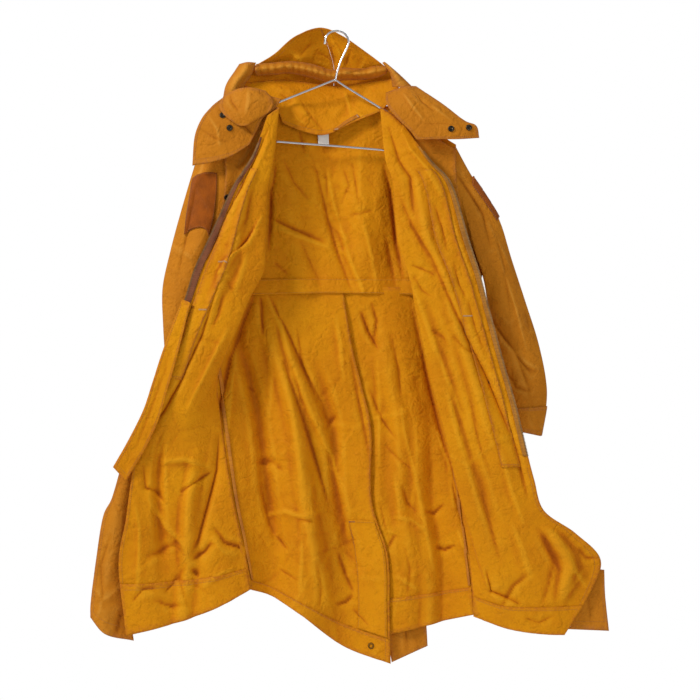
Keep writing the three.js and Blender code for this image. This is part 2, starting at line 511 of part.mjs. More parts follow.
add("back_upper", panel(backUpper), COLOURS.inside);
add("back_tail_right", panel(tailRight), COLOURS.inside);
add("back_tail_left", panel(tailLeft), COLOURS.inside);
sewn("waist_channel", backUpper, lastRow(backUpper, 1, 11), COLOURS.inside);
sewn("vent_facing", tailRight, [0.82, 0.985, 0.62, 0.925], COLOURS.inside);
sewn("hem_tail_right", tailRight, lastRow(tailRight, 0, 12), COLOURS.inside);
sewn("hem_tail_left", tailLeft, lastRow(tailLeft, 1, 7), COLOURS.inside);
add("vent_underlap", panel(ventUnderlap), COLOURS.outside);

add("front_right", panel(frontRight), COLOURS.inside);
add("front_left", panel(frontLeft), COLOURS.inside);
sewn("facing_right", frontRight, [0.8, 0.93, 0.1, 0.58], COLOURS.inside);
sewn("facing_left", frontLeft, [0.8, 0.93, 0.1, 0.62], COLOURS.inside);
sewn("zip_tape_right", frontRight, [0.94, 0.995, 0.04, 0.5], COLOURS.tape);
sewn("zip_tape_left", frontLeft, [0.94, 0.995, 0.04, 0.6], COLOURS.tape);
sewn("hem_front_right", frontRight, lastRow(frontRight, 0, 14), COLOURS.inside);
sewn("hem_front_left", frontLeft, lastRow(frontLeft, 1, 14), COLOURS.inside);
add("storm_flap", panel(stormFlap), COLOURS.inside);
add("placket_right", panel(placketRight), COLOURS.outside);
add("placket_left", panel(placketLeft), COLOURS.outside);

add("sleeve_right", panel(sleeveRight), COLOURS.outside);
add("sleeve_left", panel(sleeveLeft), COLOURS.outside);
for (const [name, surface] of [["cuff_right", sleeveRight], ["cuff_left", sleeveLeft]]) {
  const lift = towardsFront(surface, 0.25, CUFF_TOP) * LIFT;
  add(name, panel(surface, [0, 1, CUFF_TOP, 0.995], { thick: OVERLAY, lift }), COLOURS.outside);
}
const ring = 1 / 9; // from one sleeve ring to the next, in v
const armPatches = {
  right: {
    on: sleeveRight,
    corners: [[0.02, 1.9 * ring], [0.145, 0.5 * ring], [0.35, 0.8 * ring], [0.1, 3.1 * ring]],
  },
  left: {
    on: sleeveLeft,
    corners: [[0.03, 3.2 * ring], [0.03, ring], [0.19, 0.9 * ring], [0.17, 3 * ring]],
  },
};
for (const [side, { on, corners }] of Object.entries(armPatches)) {
  const lift = towardsFront(on, 0.2, 0.2) * CURVED_LIFT;
  add("arm_patch_" + side, patch(on, corners, [6, 6], { thick: OVERLAY, lift }), COLOURS.patch);
}

add("collar_wing_right", panel(wingRight, undefined, { thick: DOUBLE }), COLOURS.outside);
add("collar_wing_left", panel(wingLeft, undefined, { thick: DOUBLE }), COLOURS.outside);
add("collar_lobe_right", panel(collarLobe), COLOURS.outside);
add("hood_stand", panel(hoodStand), COLOURS.inside);
add("hood_right", panel(hoodCrown, [0, 0.495, 0, 1]), COLOURS.inside);
add("hood_left", panel(hoodCrown, [0.505, 1, 0, 1]), COLOURS.inside);
add("hood_channel", panel(hoodChannel), COLOURS.outside);
add("hood_rim_right", panel(hoodRimRight), COLOURS.outside);
add("hood_rim_left", panel(hoodRimLeft), COLOURS.outside);
const stripCorners = [[0.56, 0.97], [0.74, 0.78], [0.78, 0.9], [0.6, 0.995]];
const stripLift = towardsFront(hoodStand, 0.65, 0.9) * CURVED_LIFT;
add("neck_strip", patch(hoodStand, stripCorners, [4, 1], { thick: OVERLAY, lift: stripLift }), COLOURS.outside);
sewn("care_label", backUpper, [0.44, 0.49, 0.12, 0.2], COLOURS.label, LABEL);

// A turned piece set on a sheet, square to it.
function onSheet(name, profile, surface, [u, v], colour, lift) {
  const mesh = add(name, turned(profile, SNAP_SIDES), colour, 0.35, 0.9);
  const { p, n } = surface.on(u, v);
  n.multiplyScalar(towardsFront(surface, u, v));
  mesh.position.copy(p.addScaledVector(n, lift));
  mesh.quaternion.setFromUnitVectors(new THREE.Vector3(0, 1, 0), n);
}
const onCollar = DOUBLE / 2 + 0.7;
onSheet("snap_right_1", snapProfile, wingRight, [0.27, 0.42], COLOURS.gunmetal, onCollar);
onSheet("snap_right_2", snapProfile, wingRight, [0.5, 0.62], COLOURS.gunmetal, onCollar);
onSheet("snap_left_1", snapProfile, wingLeft, [0.6, 0.78], COLOURS.gunmetal, onCollar);
onSheet("snap_left_2", snapProfile, wingLeft, [0.87, 0.78], COLOURS.gunmetal, onCollar);
onSheet("snap_front_right", snapProfile, frontRight, [0.035, 0.155], COLOURS.gunmetal, CLOTH / 2 + 0.7);
onSheet("hem_eyelet", eyeletProfile, tailRight, [0.9, 0.965], COLOURS.gunmetal, LIFT + OVERLAY / 2 + 0.5);

export default garment;
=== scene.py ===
import json
import math

import bmesh
import bpy
import numpy as np
from mathutils import Matrix, Vector


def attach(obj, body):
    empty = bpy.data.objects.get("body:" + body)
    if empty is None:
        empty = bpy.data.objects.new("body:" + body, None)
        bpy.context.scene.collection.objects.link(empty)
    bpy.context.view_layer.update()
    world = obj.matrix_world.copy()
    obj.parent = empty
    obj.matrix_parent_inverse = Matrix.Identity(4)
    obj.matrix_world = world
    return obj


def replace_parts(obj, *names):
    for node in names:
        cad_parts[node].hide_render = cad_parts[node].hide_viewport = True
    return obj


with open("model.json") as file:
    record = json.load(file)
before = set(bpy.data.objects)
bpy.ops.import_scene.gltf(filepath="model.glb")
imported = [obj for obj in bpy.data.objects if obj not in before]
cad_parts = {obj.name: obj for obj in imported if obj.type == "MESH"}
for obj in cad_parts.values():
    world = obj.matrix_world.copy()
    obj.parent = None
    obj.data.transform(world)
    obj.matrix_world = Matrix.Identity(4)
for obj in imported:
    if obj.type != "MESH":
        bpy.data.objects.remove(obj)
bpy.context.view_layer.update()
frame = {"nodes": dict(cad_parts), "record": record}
print("frame loaded")

mm = 0.001  # the tables of sections, creases and paths are in millimetres
wallOf = {"single": 1.3, "double": 2.2, "sewn": 1.0}  # thickness of the cloth, by its layers
weld = 0.01 * mm  # points closer than this are one
farAway = 9.0  # more than any distance that is looked for
scene = bpy.context.scene
scene.view_settings.view_transform = "Standard"


def splineShares(count, t):
    # how much each of count points gives to the smooth curve through them at t, which runs from 0 to 1
    at = t * (count - 1)
    cell = np.clip(np.floor(at), 0, count - 2).astype(int)
    s = at - cell
    four = [
        (-s + 2 * s**2 - s**3) / 2,
        (2 - 5 * s**2 + 3 * s**3) / 2,
        (s + 4 * s**2 - 3 * s**3) / 2,
        (s**3 - s**2) / 2,
    ]
    shares = np.zeros((len(t), count + 2))
    for k, share in enumerate(four):
        shares[np.arange(len(t)), cell + k] += share
    for beyond, end, inner in ((0, 1, 2), (count + 1, count, count - 1)):  # the ends carry on straight
        shares[:, end] += 2 * shares[:, beyond]
        shares[:, inner] -= shares[:, beyond]
    return shares[:, 1:-1]


def spanned(rows, u, v):
    # a sheet through its sections, top to bottom: u runs across a section, v down them
    table = np.array([[row["x"], row["y"], row["z"]] for row in rows], float) * mm
    across = splineShares(table.shape[2], u)
    down = splineShares(table.shape[0], v)
    return np.einsum("nkj,nj->nk", np.einsum("ni,ikj->nkj", down, table), across)


sleeveEdge = 2  # half the width of a sleeve's two edge creases
sleeveGap = 3  # from an armhole to its sleeve


def tubed(rings, u, v):
    # a sleeve through its rings: u runs round from the outer crease by the front, and back behind
    turn = u % 1.0
    isFront = turn < 0.5
    t = np.where(isFront, 2 * turn, 2 - 2 * turn)
    bulge = np.clip(np.sin(np.pi * t), 0, 1)
    points = np.zeros((len(u), len(rings), 3))
    for k, ring in enumerate(rings):
        (x0, z0), (x1, z1) = ring["outer"], ring["inner"]
        points[:, k, 0] = x0 + (x1 - x0) * t + ring["bow"] * bulge
        front = -sleeveEdge - ring["front"] * bulge**0.8
        back = sleeveEdge + ring["back"] * bulge**0.8
        depth = np.where(isFront, front, back)
        points[:, k, 1] = ring["y"] + depth
        points[:, k, 2] = z0 + (z1 - z0) * t
    return np.einsum("nr,nrk->nk", splineShares(len(rings), v), points) * mm


def foldPush(folds, u, v):
    # the broad folds that hang down a panel, each a soft wave. One that starts or stops inside the
    # panel comes or goes over a quarter of its length
    eased = 0.25
    push = np.zeros(len(u))
    for fold in folds:
        t = np.clip((v - fold["start"]) / (fold["until"] - fold["start"]), 0, 1)
        off = np.clip(np.abs(u - fold["at"] - (fold["to"] - fold["at"]) * t) / fold["width"], 0, 1)
        first = 1 if fold["start"] <= 0 else np.minimum(1, t / eased)
        last = 1 if fold["until"] >= 1 else np.minimum(1, (1 - t) / eased)
        push += fold["depth"] * np.cos(off * np.pi / 2) ** 2 * first * last
    return push * mm


def crease(depth, width, path, lean=0.0, span=(-1, 2)):
    # a ridge towards the viewer, or a trough where depth is below 0, along a path of (x, z) points.
    # lean makes one side steeper: near 1 the left of the path falls away slowly and its right at once
    return dict(depth=depth * mm, width=width * mm, path=np.array(path, float) * mm, lean=lean, span=span)


# shares of a front, from its side seam to its edge: what is rolled out, what lies under that, and
# the strip along the zip
onRoll = (0.45, 1.1)
underRoll = (-1, 0.45)
besideTape = (0.8, 1.1)
creaseShape = dict(
    reach=4,  # it is felt out to this many of its widths
    taper=0.7,  # the smaller, the blunter its two ends
    fall=1.08,  # 1 for a sharp ridge, 2 for a round one
)


def creaseHeight(creases, points, u):
    # how far all the creases together lift each point
    height = np.zeros(len(points))
    for row in creases:
        path = row["path"]
        reach = row["width"] * creaseShape["reach"]
        near = np.flatnonzero(
            np.all(points[:, [0, 2]] > path.min(0) - reach, axis=1)
            & np.all(points[:, [0, 2]] < path.max(0) + reach, axis=1)
            & (u >= row["span"][0])
            & (u <= row["span"][1])
        )
        flat = points[near][:, [0, 2]]
        lengths = np.linalg.norm(np.diff(path, axis=0), axis=1)
        best = np.full(len(near), farAway)
        side, along = np.zeros(len(near)), np.zeros(len(near))
        start = 0.0
        for a, b, length in zip(path[:-1], path[1:], lengths):
            way = (b - a) / length
            off = flat - a
            t = np.clip(off @ way, 0, length)
            gap = off - t[:, None] * way
            distance = np.hypot(gap[:, 0], gap[:, 1])
            nearer = distance < best
            best = np.where(nearer, distance, best)
            side = np.where(nearer, np.sign(way[0] * off[:, 1] - way[1] * off[:, 0]), side)
            along = np.where(nearer, (start + t) / lengths.sum(), along)
            start += length
        width = row["width"] * (1 + row["lean"] * side)
        taper = np.sin(np.pi * np.clip(along, 0, 1)) ** creaseShape["taper"]
        height[near] += row["depth"] * np.exp(-((best / width) ** creaseShape["fall"])) * np.clip(taper, 0, 1)
    return height


crumpleTable = np.random.default_rng(4).random((32, 32, 32, 4))  # a random place and height for each cell
lastCell = 31  # of the table's 32, after which it starts again
crumple = dict(
    sizes=[(120, 4.6), (74, 3.4), (44, 2.2), (26, 1.2)],  # of each layer, its cells and its height
    pinch=7,  # how wide a sharp crease is
    dip=0.4,  # how deep the cloth dips beside one, over three times its width
    swell=0.6,  # cells of the sharp creases over those of the broad swells
    patch=0.5,  # and over those of the patches that have sharp creases
    contrast=4,  # how fast such a patch begins
    gate=1.7,  # the larger, the fewer they are
    warp=0.9,  # how far the swells bend the creases
    deep=2.2,  # how far a cell is drawn out from front to back
    broad=1.1,  # shares of a swell and of a sharp crease in the height
    sharp=0.42,
)


def rolling(places, shift):
    # four slow swells from 0 to 1, a cell across
    places = places + shift
    cell = np.floor(places).astype(int)
    share = places - cell
    share = share * share * (3 - 2 * share)
    total = 0
    for step in np.ndindex(2, 2, 2):
        corner = crumpleTable[tuple(((cell + np.array(step)) & lastCell).T)]
        near = np.prod(np.where(np.array(step) == 1, share, 1 - share), axis=1)
        total = total + corner * near[:, None]
    return total


def pinched(places, shift, width):
    # thin creases along the borders of random cells: highest on a border, fading over width of a cell
    places = places + shift
    cell = np.floor(places).astype(int)
    first, second = np.full(len(places), farAway), np.full(len(places), farAway)
    for step in np.ndindex(3, 3, 3):
        other = cell + np.array(step) - 1
        centre = crumpleTable[tuple((other & lastCell).T)][:, :3]
        away = np.linalg.norm(places - other - centre, axis=1)
        second = np.minimum(second, np.maximum(first, away))
        first = np.minimum(first, away)
    off = second - first
    return np.exp(-off / width) - crumple["dip"] * np.exp(-off / (3 * width))


def crumpled(points, seed, sizes, drop):
    # stiff waxed cloth: broad swells and, here and there, sharp short creases between them. sizes are
    # (size, height) in millimetres, and drop draws them out downwards
    total = np.zeros(len(points))
    for k, (size, height) in enumerate(sizes):
        shift = np.array([seed * 3.3 + k * 7.1, seed * 1.9, k * 5.7])
        places = points / (size * mm)
        swell = rolling(places * crumple["swell"], shift)
        bent = (places + crumple["warp"] * (swell[:, :3] - 0.5)) / np.array([1.0, crumple["deep"], drop])
        patches = rolling(places * crumple["patch"], shift * 2)[:, 3]
        shown = np.clip(patches * crumple["contrast"] - crumple["gate"], 0, 1)
        lines = pinched(bent, shift, crumple["pinch"] / size) * shown * (-1 if k % 2 else 1)
        total += height * mm * (crumple["broad"] * (swell[:, 3] * 2 - 1) + crumple["sharp"] * lines)
    return total


otherSide = 5.0  # how far off the dents of a tube's back half are looked up, so that they are its own


def surface(rows, creases=(), folds=(), tube=False, seed=1, sizes=crumple["sizes"], drop=1.6):
    # place(u, v) gives the points of a sheet or tube with its folds, creases and crumples
    spread = tubed if tube else spanned

    def place(u, v):
        points = spread(rows, u, v)
        height = creaseHeight(creases, points, u) - foldPush(folds, u, v)
        isBehind = (u % 1.0 > 0.5) & tube
        dents = crumpled(points + np.where(isBehind, otherSide, 0.0)[:, None], seed, sizes, drop)
        points[:, 1] -= height + dents
        return points

    return place


def facing(grid, side):
    # unit normals of a grid of points, turned to the viewer's side at side = (row share, column share)
    normals = np.cross(np.gradient(grid, axis=1), np.gradient(grid, axis=0))
    normals /= np.maximum(np.linalg.norm(normals, axis=2, keepdims=True), 1e-12)
    j, i = (int(share * (n - 1)) for share, n in zip(side, grid.shape))
    few = 3  # cells each way from there, over which the side is told
    around = normals[max(j - few, 0) : j + few + 1, max(i - few, 0) : i + few + 1, 1].mean()
    return normals * (-1 if around > 0 else 1)


def blurred(values, reach):
    # a running mean over 2 * reach values, both ways of a grid, with its ends held
    for axis in (0, 1):
        count = values.shape[axis]
        first, last = values.take([0], axis), values.take([-1], axis)
        held = [np.repeat(first, reach, axis), values, np.repeat(last, reach + 1, axis)]
        total = np.cumsum(np.concatenate(held, axis), axis)
        upper = total.take(np.arange(2 * reach, 2 * reach + count), axis)
        values = (upper - total.take(np.arange(0, count), axis)) / (2 * reach)
    return values


slotOf = {part["node"]: part["material_slot"] for part in frame["record"]["subparts"]}


def placed(piece, slotName):
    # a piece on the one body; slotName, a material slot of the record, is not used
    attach(piece, "root")
    return piece


def smoothed(bm):
    for face in bm.faces:
        face.smooth = True


def linked(name, data):
    piece = bpy.data.objects.new(name, data)
    scene.collection.objects.link(piece)
    return piece


def made(name, bm, material):
    # a finished bmesh as an object of one material
    mesh = bpy.data.meshes.new(name)
    bm.to_mesh(mesh)
    bm.free()
    mesh.materials.append(material)
    return linked(name, mesh)


edgeBand = 10 * mm  # how far in from its edge a piece is marked as near it
blurReach = 3  # of the grid's cells, when ridges are told from troughs


def clothPiece(name, place, cloth, size, area=(0, 1, 0, 1), spacing=3.2, wall="single", lift=0.0,
               side=(0.5, 0.5), tube=False, corners=None, swell=0.0, slotName=None, cut=None, rim=1.0):
    # a piece of cloth on a stretch of a surface, or between four corners (u, v) on it. cloth gives the
    # materials of the face at side and of the other face. lift stands it off, swell puffs its middle,
    # and rim is how strongly its edges are marked. size is its flat cut. cut, the area of that cut
    # where it isn't a whole rectangle, is not used
    across, down = (max(3, round(length / (spacing * mm))) for length in size)
    mesh = bpy.data.meshes.new(name)
    bm = bmesh.new()
    bm.loops.layers.uv.new("cloth")
    bmesh.ops.create_grid(bm, x_segments=across, y_segments=down, size=0.5, calc_uvs=True)
    bm.to_mesh(mesh)
    bm.free()
    count = len(mesh.vertices)
    flat = np.empty(count * 3)
    mesh.vertices.foreach_get("co", flat)
    flat = flat.reshape(-1, 3)[:, :2]
    s, t = ((flat - flat.min(0)) / np.ptp(flat, axis=0)).T
    if corners is None:
        u, v = area[0] + (area[1] - area[0]) * s, area[2] + (area[3] - area[2]) * t
    else:
        a, b, c, d = (np.array(corner, float) for corner in corners)
        u, v = ((a[k] * (1 - s) + b[k] * s) * (1 - t) + (d[k] * (1 - s) + c[k] * s) * t for k in (0, 1))
    column, row = np.round(s * across).astype(int), np.round(t * down).astype(int)
    order = np.empty((down + 1, across + 1), int)
    order[row, column] = np.arange(count)
    points = place(u, v)
    grid = points[order]
    normals = facing(grid, side)
    bulge = np.sin(np.pi * s) * np.sin(np.pi * t)
    stand = (lift * mm + swell * mm * np.sqrt(np.clip(bulge, 0, 1)))[order]
    grid = grid + normals * stand[..., None]
    final = np.empty_like(points)
    final[order] = grid
    mesh.vertices.foreach_set("co", final.ravel())
    # the cloth rubs pale on its ridges and is pinker along its seams; its troughs are painted darker, painted
    # shade for the shade in fine creases
    calm = np.stack([blurred(grid[..., k], blurReach) for k in range(3)], -1)
    ridge = np.empty(count)
    ridge[order] = np.sum((grid - calm) * normals, axis=2) / mm
    fromEdge = np.minimum(t, 1 - t) * size[1]
    if not tube:
        fromEdge = np.minimum(np.minimum(s, 1 - s) * size[0], fromEdge)
    edge = 1 - rim * (1 - np.clip(fromEdge / edgeBand, 0, 1))
    for label, values in (("ridge", ridge), ("edge", edge)):
        mesh.attributes.new(label, "FLOAT", "POINT").data.foreach_set("value", values.astype(np.float32))
    uvs = np.empty(len(mesh.loops) * 2)
    mesh.uv_layers[0].data.foreach_get("uv", uvs)
    mesh.uv_layers[0].data.foreach_set("uv", (uvs.reshape(-1, 2) * np.array(size)).ravel())
    bm = bmesh.new()
    bm.from_mesh(mesh)
    if tube:
        bmesh.ops.remove_doubles(bm, verts=bm.verts, dist=weld)
    bm.normal_update()
    if facesAway(bm, normals, grid):
        bmesh.ops.reverse_faces(bm, faces=bm.faces)
    smoothed(bm)
    bm.to_mesh(mesh)
    bm.free()
    for material in cloth:
        mesh.materials.append(material)
    piece = linked(name + "_cloth", mesh)
    shell = piece.modifiers.new("cloth wall", "SOLIDIFY")
    shell.thickness = wallOf[wall] * mm
    shell.offset = 0
    shell.material_offset = 1
    shell.material_offset_rim = 0
    placed(piece, slotName or slotOf[name])
    if name in frame["nodes"]:
        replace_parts(piece, name)


def facesAway(bm, normals, grid):
    # true where the faces point the other way from the normals that were turned to the viewer
    bm.faces.ensure_lookup_table()
    face = bm.faces[len(bm.faces) // 2]
    middle = np.array(face.calc_center_median())
    nearest = np.unravel_index(np.argmin(np.sum((grid - middle) ** 2, axis=2)), grid.shape[:2])
    return float(np.dot(np.array(face.normal), normals[nearest])) < 0


def linear(hexColour):
    # an sRGB hex colour as the linear colour that a shader takes
    parts = [((hexColour >> shift) & 255) / 255 for shift in (16, 8, 0)]
    return (*[c / 12.92 if c <= 0.04045 else ((c + 0.055) / 1.055) ** 2.4 for c in parts], 1)


def addNode(tree, kind, settings, output=0):
    # adds a node and gives back one of its outputs. A setting is an input, by name or number, with its
    # value or the socket that feeds it, or else a property of the node
    node = tree.nodes.new("ShaderNode" + kind)
    for key, value in settings.items():
        if not isinstance(key, int) and key not in node.inputs:
            setattr(node, key, value)
        elif isinstance(value, bpy.types.NodeSocket):
            tree.links.new(value, node.inputs[key])
        else:
            node.inputs[key].default_value = value
    return node.outputs[output]


def newMaterial(name, settings):
    # a material, its node tree and its shader's sockets, with those that are the same all over set
    material = bpy.data.materials.new(name)
    material.use_nodes = True
    shader = material.node_tree.nodes["Principled BSDF"]
    for key, value in settings.items():
        shader.inputs[key].default_value = value
    return material, material.node_tree, shader.inputs


def waveScale(pitch):
    # the scale at which a wave texture repeats every pitch
    return 0.5 / pitch / math.pi


def canvas(name, lit, deep, worn, seam, dirtAndShade):
    # Tightly woven cotton canvas, dyed as a made garment and proofed with a dry wax: matt with a faint
    # satin bloom, mottled where the dye took unevenly, paler along worn ridges, pinker along its seams.
    # Its troughs are painted darker with its two darkest colours, painted shade in place of the shade that
    # falls in fine creases; the same two colours also give the mottling and the dirt flecks.
    settings = {"Roughness": 0.68, "Specular IOR Level": 0.1, "Sheen Weight": 0.02, "Sheen Roughness": 0.5}
    material, tree, sockets = newMaterial(name, settings)
    where = addNode(tree, "TexCoord", {}, "Object")
    weaveAt = addNode(tree, "UVMap", {"uv_map": "cloth"})
    ridge = addNode(tree, "Attribute", {"attribute_name": "ridge"}, "Fac")
    edge = addNode(tree, "Attribute", {"attribute_name": "edge"}, "Fac")
    # dye taken unevenly: clouds of about 110 mm, blotches of 30 mm and flecks of 6 mm
    spots = {"Vector": where, "Detail": 5.0}
    clouds = addNode(tree, "TexNoise", spots | {"Scale": 9.0, "Roughness": 0.6})
    blotches = addNode(tree, "TexNoise", spots | {"Scale": 1 / (30 * mm), "Roughness": 0.65})
    flecks = addNode(tree, "TexNoise", spots | {"Scale": 1 / (6 * mm), "Detail": 4.0, "Roughness": 0.7})
    deep, worn, seam, dirtAndShade = (linear(colour) for colour in (deep, worn, seam, dirtAndShade))
    baseColour = linear(lit)
    # each colour is laid on from low to high of what it follows, up to most
    for what, low, high, most, colour in (
        (clouds, 0.3, 0.62, 0.4, deep),
        (blotches, 0.52, 0.72, 0.22, deep),
        (flecks, 0.55, 0.8, 0.3, dirtAndShade),
        # painted shade: the troughs, which ridge finds below the blurred surface, take the deep colour and
        # the deepest take the darkest one; the ridges then pale with wear
        (ridge, -0.1, -1.2, 0.7, deep),
        (ridge, -1.0, -3.0, 0.8, dirtAndShade),
        (ridge, 0.2, 1.2, 0.5, worn),
    ):
        share = addNode(tree, "MapRange", {"Value": what, "From Min": low, "From Max": high, "To Max": most})
        baseColour = addNode(tree, "Mix", {"data_type": "RGBA", 0: share, 6: baseColour, 7: colour}, 2)
    # the turned edges and seams take the dye in broken, pinker streaks
    nearEdge = addNode(tree, "MapRange", {"Value": edge, "From Min": 0.85, "From Max": 0.1, "To Max": 0.8})
    broken = addNode(tree, "MapRange", {"Value": flecks, "From Min": 0.36, "From Max": 0.58})
    atSeam = addNode(tree, "Math", {"operation": "MULTIPLY", 0: nearEdge, 1: broken})
    baseColour = addNode(tree, "Mix", {"data_type": "RGBA", 0: atSeam, 6: baseColour, 7: seam}, 2)
    tree.links.new(baseColour, sockets["Base Color"])
    # the crackle of the wax: broken lines some 38 and 17 mm apart, bent by a slow sideways push
    push = addNode(tree, "TexNoise", {"Vector": where, "Scale": 1 / (34 * mm), "Detail": 3.0}, "Color")
    push = addNode(tree, "VectorMath", {"operation": "SCALE", 0: push, "Scale": 26 * mm})
    bent = addNode(tree, "VectorMath", {"operation": "ADD", 0: where, 1: push})
    heights = []
    for apart, sharp in ((38, 0.1), (17, 0.14)):
        cells = {"feature": "DISTANCE_TO_EDGE", "Vector": bent, "Scale": 1 / (apart * mm)}
        line = addNode(tree, "TexVoronoi", cells)
        heights.append(addNode(tree, "MapRange", {"Value": line, "From Min": 0.0, "From Max": sharp}))
    rough = addNode(tree, "TexNoise", spots | {"Scale": 1 / (12 * mm), "Roughness": 0.7})
    fade = addNode(tree, "MapRange", {"Value": blotches, "From Min": 0.42, "From Max": 0.6})
    lines = addNode(tree, "Math", {"operation": "MULTIPLY_ADD", 0: heights[1], 1: 0.45, 2: heights[0]})
    lines = addNode(tree, "Math", {"operation": "MULTIPLY", 0: lines, 1: fade})
    dents = addNode(tree, "Math", {"operation": "MULTIPLY_ADD", 0: rough, 1: 0.9, 2: lines})
    bump = addNode(tree, "Bump", {"Height": dents, "Strength": 0.85, "Distance": 1.3 * mm})
    # a plain weave of 1.2 mm, coarser than the real 0.5 mm so that it shows
    weave = []
    for way in ("X", "Y"):
        bands = {"bands_direction": way, "Vector": weaveAt, "Scale": waveScale(1.2 * mm), "Distortion": 0.6}
        weave.append(addNode(tree, "TexWave", bands, "Fac"))
    weave = addNode(tree, "Math", {"operation": "MAXIMUM", 0: weave[0], 1: weave[1]})
    fine = addNode(tree, "Bump", {"Height": weave, "Normal": bump, "Strength": 0.3, "Distance": 0.15 * mm})
    tree.links.new(fine, sockets["Normal"])
    return material


# the second and last colours of each canvas give its mottling and dirt flecks, and also the painted shade in
# its troughs
canvasInside = canvas("canvas_inside", 0xDA8F04, 0xBC6600, 0xE29C16, 0xBC6A1C, 0x984600)
canvasOutside = canvas("canvas_outside", 0xCA7E18, 0xA25A06, 0xD69434, 0xB26C30, 0x7E4206)


def loopedPile():
    # Loop pile of a hook-and-loop patch: short nylon loops that take the dye dark and stay matt.
    settings = {"Roughness": 0.95, "Specular IOR Level": 0.1, "Sheen Weight": 0.12, "Sheen Roughness": 0.6}
    material, tree, sockets = newMaterial("loop_pile", settings)
    where = addNode(tree, "TexCoord", {}, "Object")
    loops = addNode(tree, "TexNoise", {"Vector": where, "Scale": 1 / (2.2 * mm), "Detail": 3.0})
    clumps = addNode(tree, "TexNoise", {"Vector": where, "Scale": 1 / (16 * mm), "Detail": 4.0})
    matted = addNode(tree, "MapRange", {"Value": clumps, "From Min": 0.35, "From Max": 0.65})
    baseColour = addNode(tree, "Mix", {"data_type": "RGBA", 0: matted, 6: linear(0x864100), 7: linear(0x9A4C00)}, 2)
    tips = addNode(tree, "MapRange", {"Value": loops, "From Min": 0.55, "From Max": 0.8, "To Max": 0.5})
    baseColour = addNode(tree, "Mix", {"data_type": "RGBA", 0: tips, 6: baseColour, 7: linear(0xA85E08)}, 2)
    tree.links.new(baseColour, sockets["Base Color"])
    bump = addNode(tree, "Bump", {"Height": loops, "Strength": 0.9, "Distance": 1.2 * mm})
    tree.links.new(bump, sockets["Normal"])
    return material


def wovenTape(name, base, deep, pitch):
    # Woven polyester tape or overlocked thread: fine ribs across it, a little glossier than the canvas,
    # and pinker, because the dye only stained it. It is painted darker between the ribs, painted shade in
    # their grooves.
    material, tree, sockets = newMaterial(name, {"Roughness": 0.6, "Specular IOR Level": 0.25})
    along = addNode(tree, "UVMap", {"uv_map": "cloth"})
    bands = {"bands_direction": "Y", "Vector": along, "Scale": waveScale(pitch), "Distortion": 0.4}
    ribs = addNode(tree, "TexWave", bands, "Fac")
    where = addNode(tree, "TexCoord", {}, "Object")
    stains = addNode(tree, "TexNoise", {"Vector": where, "Scale": 45.0, "Detail": 5.0})
    stained = addNode(tree, "MapRange", {"Value": stains, "From Min": 0.4, "From Max": 0.7})
    baseColour = addNode(tree, "Mix", {"data_type": "RGBA", 0: stained, 6: linear(base), 7: linear(deep)}, 2)
    # painted shade: the grooves between the ribs take up to half of the deep colour
    between = addNode(tree, "MapRange", {"Value": ribs, "From Min": 0.3, "From Max": 0.0, "To Max": 0.5})
    baseColour = addNode(tree, "Mix", {"data_type": "RGBA", 0: between, 6: baseColour, 7: linear(deep)}, 2)
    tree.links.new(baseColour, sockets["Base Color"])
    bump = addNode(tree, "Bump", {"Height": ribs, "Strength": 0.5, "Distance": 0.4 * mm})
    tree.links.new(bump, sockets["Normal"])
    return material


loopPile = loopedPile()
zipTape = wovenTape("zip_tape", 0x864F30, 0x65361E, 2.4 * mm)
dyedTape = wovenTape("dyed_tape", 0xB87A28, 0x96601A, 2.4 * mm)
overlock = wovenTape("overlock", 0xCB801E, 0xB06A20, 2.6 * mm)


def spunThread(name, colour):
    # Corespun sewing thread: polyester, stained less by the dye than the canvas, with a soft gloss.
    return newMaterial(name, {"Base Color": linear(colour), "Roughness": 0.5, "Sheen Weight": 0.2})[0]


thread = spunThread("thread", 0xA8661C)
paleThread = spunThread("pale_thread", 0xC49A6C)


def polishedChrome():
    # Chromium plate on drawn steel wire: a mirror with faint marks of the rail.
    material, tree, sockets = newMaterial("chrome", {"Base Color": linear(0xD8D8DA), "Metallic": 1.0})
    where = addNode(tree, "TexCoord", {}, "Object")
    rubs = addNode(tree, "TexNoise", {"Vector": where, "Scale": 260.0, "Detail": 3.0})
    rubbed = {"Value": rubs, "From Min": 0.3, "From Max": 0.8, "To Min": 0.08, "To Max": 0.24}
    tree.links.new(addNode(tree, "MapRange", rubbed), sockets["Roughness"])
    return material


def oxidisedBrass(name, dark, bareMetal, roughness):
    # Stamped brass, darkened in a bath or by wear, and rubbed brighter in places.
    material, tree, sockets = newMaterial(name, {"Metallic": 0.9, "Roughness": roughness})
    where = addNode(tree, "TexCoord", {}, "Object")
    rubs = addNode(tree, "TexNoise", {"Vector": where, "Scale": 420.0, "Detail": 4.0})
    bare = addNode(tree, "MapRange", {"Value": rubs, "From Min": 0.45, "From Max": 0.75})
    tone = addNode(tree, "Mix", {"data_type": "RGBA", 0: bare, 6: linear(dark), 7: linear(bareMetal)}, 2)
    tree.links.new(tone, sockets["Base Color"])
    return material


def wovenSatin():
    # Polyester satin ribbon of a care label: white, smooth and slightly glossy, its print left off.
    settings = {"Base Color": linear(0xEFEDE6), "Roughness": 0.42, "Sheen Weight": 0.2}
    material, tree, sockets = newMaterial("label_satin", settings)
    along = addNode(tree, "UVMap", {"uv_map": "cloth"})
    bands = {"Vector": along, "Scale": waveScale(0.8 * mm), "Distortion": 0.3}
    ribs = addNode(tree, "TexWave", bands, "Fac")
    bump = addNode(tree, "Bump", {"Height": ribs, "Strength": 0.2, "Distance": 0.1 * mm})
    tree.links.new(bump, sockets["Normal"])
    return material


